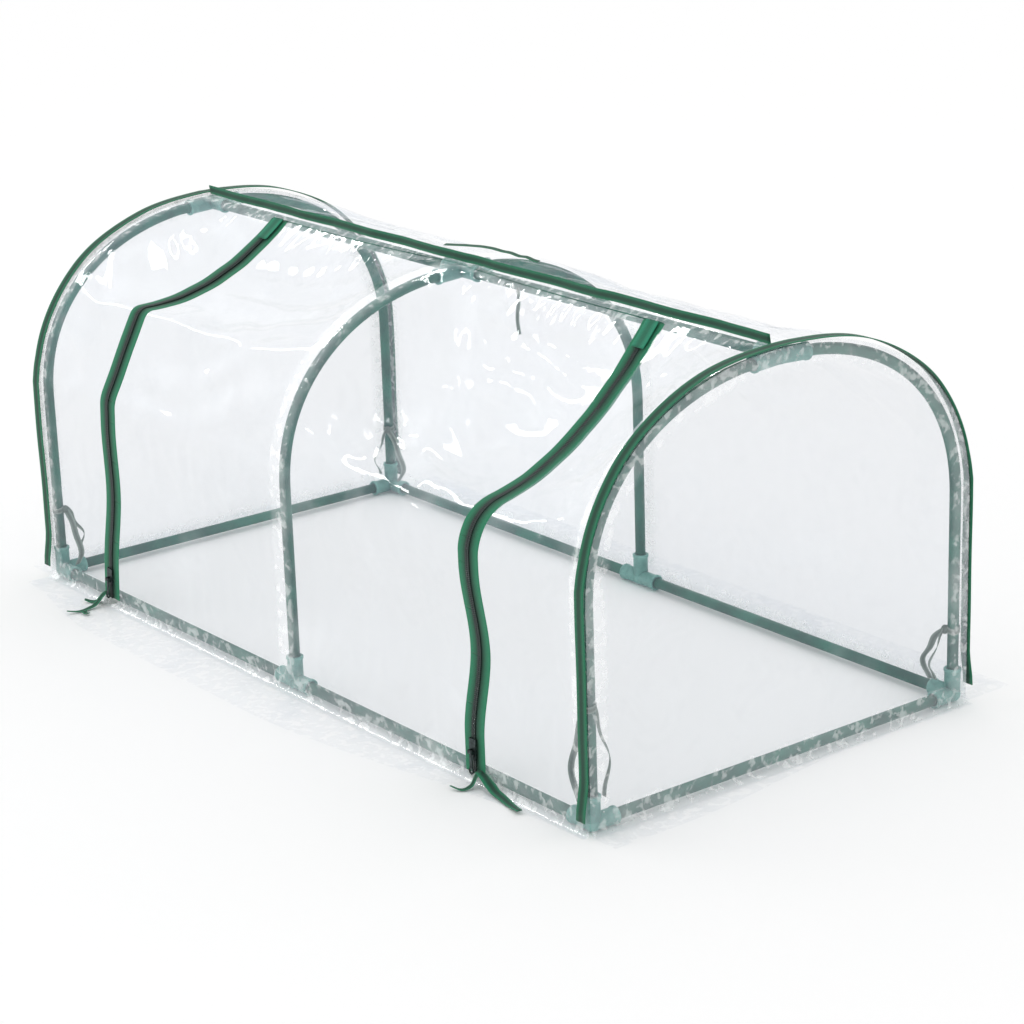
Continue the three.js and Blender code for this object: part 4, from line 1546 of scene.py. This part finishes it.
    def strip(
        self,
        name: str,
        points: Sequence[Vector],
        across: Vector,
        size: tuple[float, float],
        finish: Finish,
        slot: str,
        outer: int = 0,
        width_at: Callable[[float], float] = lambda share: 1.0,
    ) -> bpy.types.Object:
        """Makes a flat strip along a run of points.

        Args:
            name: The piece's name.
            points: The run.
            across: Its width's direction.
            size: Its width and thickness.
            finish: What it is made of.
            slot: A record slot; it is not used.
            outer: Which way its outer edge lies, or 0.
            width_at: The width's share at each share of the run.

        Returns:
            The strip.
        """
        bm = bmesh.new()
        sweep(bm, strap(*size), taper(run_frames(points, lambda i: across), width_at), outer)
        piece = finished_object(name, bm, finish)
        return piece

    def _arch_binding(self, end: End) -> None:
        """The binding that joins roof and end film, standing a little off the arch with loose tails.

        Args:
            end: Which end of the house.
        """
        h = self.house
        x = end.value * (h.end_x - self.binding_width / 2 + 0.002)
        half = [h.section(h.half_length, Side.FRONT, d / 60) for d in range(61)]
        half += [(h.wall_y, lerp(h.wall_height, 0.02, k / 24)) for k in range(1, 25)]
        points = []
        for side, line in ((Side.FRONT, half[::-1]), (Side.BACK, half)):
            for y, z in line:
                stand = self.arch_stand + 0.002 * drift(y * 9, z * 9, end.value * 3.0)
                flare = 0.006 * smooth_step(0.07 - z, 0.0, 0.05)
                out = y + flare + stand * min(y / 0.1, 1.0)
                points.append(Vector((x, side.value * out, z + stand * smooth_step(z, 0.3, 0.45))))
            if side is Side.FRONT:
                points += [h.ridge(x, y, self.arch_stand) for y in (-0.007, 0.0, 0.007)]
        piece = self.strip(
            f"{end.word}_arch_woven_binding",
            points,
            ALONG_HOUSE,
            (self.binding_width, self.binding_thickness),
            BINDING_FINISH,
            "edge_binding",
        )
        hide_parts(f"{end.word}_arch_binding")
        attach(piece, FRAME_BODY)

    def _ridge_binding(self) -> None:
        """The binding on the ridge seam, which stands up and waves a little with the film's slack."""
        h = self.house
        reach = h.end_x - self.binding_width - self.clearance
        foot = h.ridge(0.0, -self.seam_stand, self.clearance)
        points = []
        for i in range(self.ridge_steps + 1):
            x = lerp(-reach, reach, i / self.ridge_steps)
            lean = 0.0012 * math.sin(x * 41) + 0.0008 * drift(x * 30, 0, 9)
            rise = 0.0006 * drift(x * 18, 4, 0)
            points.append(Vector((x, foot.y + lean, foot.z + self.stand_height / 2 + rise)))
        piece = self.strip(
            "ridge_woven_binding",
            points,
            Vector((0, -0.15, 1)),
            (self.stand_height, self.binding_thickness),
            BINDING_FINISH,
            "edge_binding",
        )
        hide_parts("ridge_binding")
        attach(piece, FRAME_BODY)

    def tape_points(
        self, end: End, offset: float, low: float, high: float, steps: int, lift: float = 0.0
    ) -> list[Vector]:
        """Points down a zip, a signed offset outwards from its middle line.

        Args:
            end: Which end of the house.
            offset: Outwards from the zip's middle line.
            low: The drop where it starts.
            high: The drop where it ends.
            steps: Steps down.
            lift: How far outside the film it lies.

        Returns:
            The points from the top down.
        """
        h = self.house
        made = []
        for i in range(steps + 1):
            drop = lerp(low, high, i / steps)
            made.append(h.cover(h.zip_x(end, drop) + end.value * offset, Side.FRONT, drop, lift))
        return made

    def _fixed_tape(self, end: End) -> None:
        """The zip tape sewn to the fixed film, and its half of the coil.

        Args:
            end: Which end of the house.
        """
        middle = self.slit / 2 + self.tape_width / 2
        points = self.tape_points(end, middle, self.tape_start, self.tape_end, 150)
        piece = self.strip(
            f"{end.word}_fixed_woven_tape",
            points,
            ALONG_HOUSE,
            (self.tape_width, self.tape_thickness),
            ZIP_TAPE_FINISH,
            "zip_tape",
            end.value,
        )
        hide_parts(f"{end.word}_zip_fixed_tape")
        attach(piece, FRAME_BODY)
        turns = self.tape_points(end, self.coil_offset, self.coil_start, 1.98, 150, self.coil_lift)
        name = f"{end.word}_fixed_zip_coil"
        coil = self.strip(name, turns, ALONG_HOUSE, self.coil, COIL_FINISH, "zip_tape")
        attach(coil, FRAME_BODY)

    def _top_tab(self, end: End) -> None:
        """The doubled tab that covers the zip's top.

        Args:
            end: Which end of the house.
        """
        h = self.house
        roof = h.bay_roofs[end].length
        start = self.clearance / roof
        points = self.tape_points(end, 0.0, start, start + self.tab_length / roof, 12, self.binding_lift)
        size = (self.tab_width, self.binding_thickness)
        piece = self.strip(f"{end.word}_woven_top_tab", points, ALONG_HOUSE, size, TAB_FINISH, "zip_tape")
        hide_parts(f"{end.word}_zip_top_tab")
        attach(piece, FRAME_BODY)

    def _tail(
        self, name: str, start: Vector, way: Vector, length: float, width: float, curl: float
    ) -> None:
        """Lays one loose end of tape over the foot of the cover and out on the skirt.

        Args:
            name: The piece's name.
            start: Where it leaves the zip.
            way: Its level direction.
            length: Its length on the ground.
            width: Its width at the zip.
            curl: How far it curls aside.
        """
        aside = Vector((-way.y, way.x, 0))
        points = []
        for i in range(25):
            share = i / 24
            height = lerp(start.z, 0.0034, smooth_step(share, 0.0, 0.4))
            height += 0.0025 * share * math.sin(share * 7)
            spot = start + way * (length * share) + aside * (curl * math.sin(share * 3.6) * share)
            points.append(Vector((spot.x, spot.y, height)))
        piece = self.strip(
            name,
            points,
            aside,
            (width, self.tape_thickness),
            ZIP_TAPE_FINISH,
            "zip_tape",
            width_at=lambda share: 1 - 0.55 * share**2,
        )
        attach(piece, FRAME_BODY)

    def _zip_tails(self, end: End) -> None:
        """The loose ends of tape at a zip's foot: one out across the skirt, one along the base tube.

        Args:
            end: Which end of the house.
        """
        h = self.house
        foot = Vector((h.zip_x(end, 1.97) + end.value * self.tape_width * 0.6, -h.wall_y - 0.002, 0.018))
        # Each tail's direction, length, width and curl.
        tails = {
            End.LEFT: (
                (Vector((0.03, -1, 0)), 0.064, 0.009, 0.006),
                (Vector((-0.8, -0.6, 0)), 0.034, 0.012, -0.003),
            ),
            End.RIGHT: (
                (Vector((-0.25, -0.97, 0)), 0.036, 0.008, 0.012),
                (Vector((0.985, -0.17, 0)), 0.098, 0.015, 0.003),
            ),
        }
        for number, (way, length, width, curl) in enumerate(tails[end]):
            self._tail(f"{end.word}_zip_tape_tail_{number + 1}", foot, way, length, width, curl)
        if end is End.LEFT:
            spot = foot + Vector((0.010, -0.046, 0.003 - foot.z))
            run = [spot + Vector((0.014 * i / 8, 0.001 * i / 8, 0.0006 * math.sin(i))) for i in range(9)]
            size = (0.007, self.tape_thickness)
            piece = self.strip(
                "left_loose_tape_end", run, Vector((0, 1, 0)), size, ZIP_TAPE_FINISH, "zip_tape"
            )
            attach(piece, FRAME_BODY)


# Door ------------------------------------------------------------------------------------------------


@dataclass
class Door:
    """The film between the zips: the roof film on the frame, and the wall film in lengths, the top and last of
    them on the door's bodies.
    """

    house: House
    cover: Cover
    bands: int = 5
    gather_axis: tuple[float, float, float] = (0.0, 0.766, 0.643)
    gather_anchor: tuple[float, float, float] = (0.0, -0.014, 0.506)
    gather_keep: float = 0.041
    roof_width: float = 0.75
    wall_width: float = 0.8
    hem_length: float = 0.045
    joint: str = "door_roll"

    def build(self) -> None:
        """Builds the roof film, the wall film and the door's halves of the zips."""
        self._roof()
        self._wall()

    def _film(self, name: str, low: float, high: float, rows: int) -> bpy.types.Object:
        """A length of the door's film between two drops.

        Args:
            name: The piece's name.
            low: The drop where it starts.
            high: The drop where it ends.
            rows: Steps down.

        Returns:
            The film's object.
        """
        h = self.house

        def point_at(u: float, v: float) -> Vector:
            """A point of the film at a share from the left zip to the right and a share down.

            Args:
                u: The share across, from 0 to 1.
                v: The share down, from 0 to 1.

            Returns:
                The point.
            """
            drop = lerp(low, high, v)
            gap = self.cover.film_gap(drop)
            left, right = h.zip_x(End.LEFT, drop) + gap, h.zip_x(End.RIGHT, drop) - gap
            return h.cover(lerp(left, right, u), Side.FRONT, drop)

        sheet = sheet_mesh(point_at, columns=210, rows=rows, tight_at=h.tightness)
        piece = finished_object(name, sheet, FILM_FINISH)
        return piece

    def _tapes(self, stem: str, low: float, high: float, steps: int) -> list[bpy.types.Object]:
        """The door's zip tapes and coils between two drops.

        Args:
            stem: How the names start.
            low: The drop where it starts.
            high: The drop where it ends.
            steps: Steps down.

        Returns:
            The left tape and coil, then the right.
        """
        cover = self.cover
        made = []
        for end in End:
            middle = -(cover.slit / 2 + cover.tape_width / 2)
            edge = cover.tape_points(end, middle, low, high, steps)
            top = max(low, cover.coil_start)
            turns = cover.tape_points(end, -cover.coil_offset, top, high, steps, cover.coil_lift)
            size = (cover.tape_width, cover.tape_thickness)
            stem_end = f"{stem}_{end.word}"
            made.append(
                cover.strip(
                    f"{stem_end}_tape", edge, ALONG_HOUSE, size, ZIP_TAPE_FINISH, "zip_tape", -end.value
                )
            )
            made.append(
                cover.strip(f"{stem_end}_coil", turns, ALONG_HOUSE, cover.coil, COIL_FINISH, "zip_tape")
            )
        return made

    def _roof(self) -> None:
        """The roof film and its zip tapes, each on the frame with a mesh of its own."""
        top = self.cover.tape_start
        film = self._film("door_roof_clear_film", top, 1.0, 120)
        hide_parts("door_roof_film")
        tapes = self._tapes("door_roof", top, 1.0, 90)
        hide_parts("door_roof_left_zip_tape")
        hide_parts("door_roof_right_zip_tape")
        for piece in (film, *tapes):
            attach(piece, FRAME_BODY)
            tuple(self.gather_axis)
            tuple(self.gather_anchor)
            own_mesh(piece)

    def _wall(self) -> None:
        """The wall film and its zip tapes in lengths from the middle of one band to the middle of the next."""
        names = [f"door_band_{i + 1}" for i in range(self.bands)] + ["door_skirt"]
        pitch = 1 / self.bands
        stops = [1.0] + [1 + pitch * (i + 0.5) for i in range(self.bands)] + [2.3, 3.0]
        for i, (low, high) in enumerate(zip(stops, stops[1:])):
            stem = f"door_wall_{i + 1}"
            film = self._film(f"{stem}_clear_film", low, high, 14)
            pieces = [film]
            if low < 1.95:
                pieces += self._tapes(stem, low, min(high, self.cover.tape_end), 24)
            if i < len(names):
                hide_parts(names[i])
            for piece in pieces:
                self._follow(piece, names, i, low, high)

    def _follow(
        self, piece: bpy.types.Object, names: Sequence[str], index: int, low: float, high: float
    ) -> None:
        """Makes the top length of the wall ride on the first band's body and the last on the skirt's; the
        lengths between keep their shape in place.

        Args:
            piece: The piece.
            names: The bodies of the wall from the top down.
            index: Which length it is, from the top.
            low: The drop where it starts.
            high: The drop where it ends.
        """
        if index == 0:
            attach(piece, names[0])
            return
        if index == len(names):
            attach(piece, names[-1])
            return
        h = self.house
        start = h.cover(0.0, Side.FRONT, low)
        end = h.cover(0.0, Side.FRONT, min(high, 2.0))
        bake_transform(piece)


# Ties ------------------------------------------------------------------------------------------------


@dataclass
class Ties:
    """Woven ribbons: four round the corner legs and two roll-up straps at the ridge."""

    house: House
    cover: Cover
    width: float = 0.010
    thickness: float = 0.0008
    knot_radius: float = 0.0048
    strap_run: float = 0.126
    strap_turn: float = 33
    strap_bow: float = 0.012
    heights: dict[tuple[Side, End], float] = field(
        default_factory=lambda: {
            (Side.FRONT, End.LEFT): 0.100,
            (Side.FRONT, End.RIGHT): 0.150,
            (Side.BACK, End.LEFT): 0.100,
            (Side.BACK, End.RIGHT): 0.095,
        }
    )

    def build(self) -> None:
        """Builds all six ribbons."""
        for (side, end), height in self.heights.items():
            self._corner_tie(side, end, height)
        self._outer_strap()
        self._inner_strap()

    def _corner_tie(self, side: Side, end: End, height: float) -> None:
        """A ribbon knotted round a leg, with two hanging tails.

        Args:
            side: Front or back.
            end: Which end of the house.
            height: How high on the leg it is tied.
        """
        h = self.house
        x, y = end.value * h.half_length, side.value * h.half_width
        ring = h.tube_radius + 0.0009
        bm = bmesh.new()
        start = math.atan2(-side.value, -end.value)
        loop = []
        for i in range(25):
            angle = start + 2 * math.pi * i / 24
            tilt = 0.0012 * math.sin(angle * 2)
            loop.append(Vector((x + ring * math.cos(angle), y + ring * math.sin(angle), height + tilt)))
        sweep(bm, strap(self.width * 0.8, self.thickness), run_frames(loop, lambda i: UP))
        knot = Vector((x - end.value * ring * 0.9, y - side.value * ring * 0.9, height))
        longer = Matrix.Translation(knot) @ Matrix.Diagonal((1, 1, 1.25, 1))
        bmesh.ops.create_icosphere(bm, subdivisions=3, radius=self.knot_radius, matrix=longer)
        inwards = (Vector((-end.value, 0, 0)), Vector((0, -side.value, 0)))
        for number, (way, spread) in enumerate(zip(inwards, (0.034, 0.024))):
            reach = height - 0.024 - 0.010 * number
            tail = []
            for i in range(26):
                share = i / 25
                away = spread * math.sin(share * math.pi * 0.72) + 0.003 * math.sin(share * 11 + number)
                tail.append(knot + way * away + Vector((0, 0, -reach * share)))
            twists = [0.5 + 1.3 * number + i * 0.05 for i in range(len(tail))]
            aside = [Vector((math.cos(twist), math.sin(twist), 0)) for twist in twists]
            sweep(bm, strap(self.width * 0.85, self.thickness), run_frames(tail, aside.__getitem__))
        piece = finished_object(f"{side.word}_{end.word}_woven_tie", bm, RIBBON_FINISH)
        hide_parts(f"{side.word}_{end.word}_corner_tie")
        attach(piece, FRAME_BODY)

    def _outer_strap(self) -> None:
        """The roll-up strap that is sewn in the ridge seam and lies over onto the back."""
        h = self.house
        turn = math.radians(self.strap_turn)
        points = []
        for i in range(31):
            run = self.strap_run * i / 30
            lift = 0.003 + self.strap_bow * (1 - smooth_step(run, 0.045, self.strap_run))
            x, y = -0.036 + run * math.cos(turn), run * math.sin(turn)
            if y < h.seam_out:
                points.append(h.ridge(x, y, lift))
                continue
            low, high = 0.0, 1.0
            for _ in range(20):
                middle = (low + high) / 2
                if h.roof(x, Side.BACK, middle)[0] < y:
                    low = middle
                else:
                    high = middle
            points.append(h.cover(x, Side.BACK, low, lift))
        across = Vector((-math.sin(turn), math.cos(turn), 0))
        size = (self.width, self.thickness)
        piece = self.cover.strip("outer_woven_strap", points, across, size, BINDING_FINISH, "tie_ribbon")
        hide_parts("outer_roll_up_strap")
        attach(piece, FRAME_BODY)

    def _inner_strap(self) -> None:
        """The roll-up strap that hangs inside from the ridge."""
        h = self.house
        y = -(h.tube_radius + h.lip_radius) / 2 - 0.001
        points = []
        for i in range(15):
            sway = 0.126 + 0.002 * math.sin(i * 0.5)
            points.append(Vector((sway, y, h.ridge_z - 0.060 * i / 14)))
        size = (self.width * 0.7, self.thickness)
        piece = self.cover.strip(
            "inner_woven_strap", points, ALONG_HOUSE, size, RIBBON_FINISH, "tie_ribbon"
        )
        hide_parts("inner_roll_up_strap")
        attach(piece, FRAME_BODY)


# Studio ----------------------------------------------------------------------------------------------


@dataclass
class Studio:
    """The floor, the light and the camera."""

    camera_place: tuple[float, float, float] = (2.9213, -2.1770, 1.3612)
    azimuth: float = 52.475
    elevation: float = 18.1196
    roll: float = -1.897
    lens: float = 102.76

    def build(self) -> None:
        """Sets up the floor, the lights, the world and the camera."""
        bm = bmesh.new()
        bmesh.ops.create_grid(bm, x_segments=4, y_segments=4, size=12)
        bmesh.ops.translate(bm, vec=(0, 0, -0.0005), verts=bm.verts)
        finished_object("studio_floor", bm, FLOOR_FINISH)
        self._light("soft_key", place=(-1.6, -1.6, 2.8), size=(1.0, 1.0), power=3)
        world = bpy.data.worlds.new("studio_world")
        world.use_nodes = True
        background = world.node_tree.nodes["Background"]
        background.inputs["Color"].default_value = (1, 1, 1, 1)
        background.inputs["Strength"].default_value = 1.0
        bpy.context.scene.world = world
        bpy.context.scene.view_settings.view_transform = "Standard"
        self._camera()

    def light_film(self, films: Sequence[bpy.types.Object]) -> None:
        """Adds the strip lamps whose gloss only the film catches, flagged off the floor and the frame.

        Args:
            films: The film pieces.
        """
        only_film = bpy.data.collections.new("lit_film")
        for film in films:
            only_film.objects.link(film)
        # Each lamp's name, place, size and watts.
        for name, place, size, power in (
            ("roof_strip", (-2.3, -0.6, 2.1), (0.26, 1.5), 60),
            ("front_strip", (-1.2, -1.9, 2.5), (0.16, 1.3), 30),
            ("crown_strip", (-1.6, 1.2, 2.6), (0.16, 1.3), 30),
        ):
            self._light(name, place, size, power).light_linking.receiver_collection = only_film

    def _light(
        self, name: str, place: tuple[float, float, float], size: tuple[float, float], power: float
    ) -> bpy.types.Object:
        """Adds an area light that faces the house.

        Args:
            name: Its name.
            place: Where it stands.
            size: Its two sides.
            power: Its watts.

        Returns:
            The light.
        """
        lamp = bpy.data.lights.new(name, "AREA")
        lamp.shape, lamp.energy = "RECTANGLE", power
        lamp.size, lamp.size_y = size
        holder = bpy.data.objects.new(name, lamp)
        holder.location = place
        aim = Vector((0, 0, 0.25)) - Vector(place)
        holder.rotation_euler = aim.to_track_quat("-Z", "Y").to_euler()
        bpy.context.scene.collection.objects.link(holder)
        return holder

    def _camera(self) -> None:
        """Adds the camera at its own roll."""
        around, rise, roll = (math.radians(angle) for angle in (self.azimuth, self.elevation, self.roll))
        flat = math.cos(rise)
        back = Vector((math.sin(around) * flat, -math.cos(around) * flat, math.sin(rise)))
        level = Vector((math.cos(around), math.sin(around), 0))
        up = back.cross(level)
        right = level * math.cos(roll) + up * math.sin(roll)
        top = up * math.cos(roll) - level * math.sin(roll)
        data = bpy.data.cameras.new("studio_camera")
        data.lens, data.sensor_width = self.lens, 36
        camera = bpy.data.objects.new("studio_camera", data)
        turn = Matrix((right, top, back)).transposed().to_4x4()
        camera.matrix_world = Matrix.Translation(self.camera_place) @ turn
        bpy.context.scene.collection.objects.link(camera)
        bpy.context.scene.camera = camera


def dress_sliders(nodes: dict[str, bpy.types.Object]) -> None:
    """Gives the zip sliders and pulls their metal finish.

    Args:
        nodes: The frame's nodes by name.
    """
    for end in End:
        for part in ("slider", "pull"):
            node = nodes[f"{end.word}_zip_{part}"]
            node.data.materials.clear()
            node.data.materials.append(METAL_FINISH.material())
            log.info("%s dressed", node.name)


def main() -> None:
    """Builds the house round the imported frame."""
    logging.basicConfig(level=logging.INFO, format="%(message)s")
    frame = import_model()
    house = House()
    cover = Cover(house)
    studio = Studio()
    studio.build()
    for part in (TubeFrame(house), cover, Door(house, cover), Ties(house, cover)):
        part.build()
        log.info("%s is built", type(part).__name__)
    dress_sliders(frame["nodes"])
    film = FILM_FINISH.material()
    studio.light_film([o for o in bpy.data.objects if o.type == "MESH" and film.name in o.data.materials])


if __name__ == "__main__":
    main()
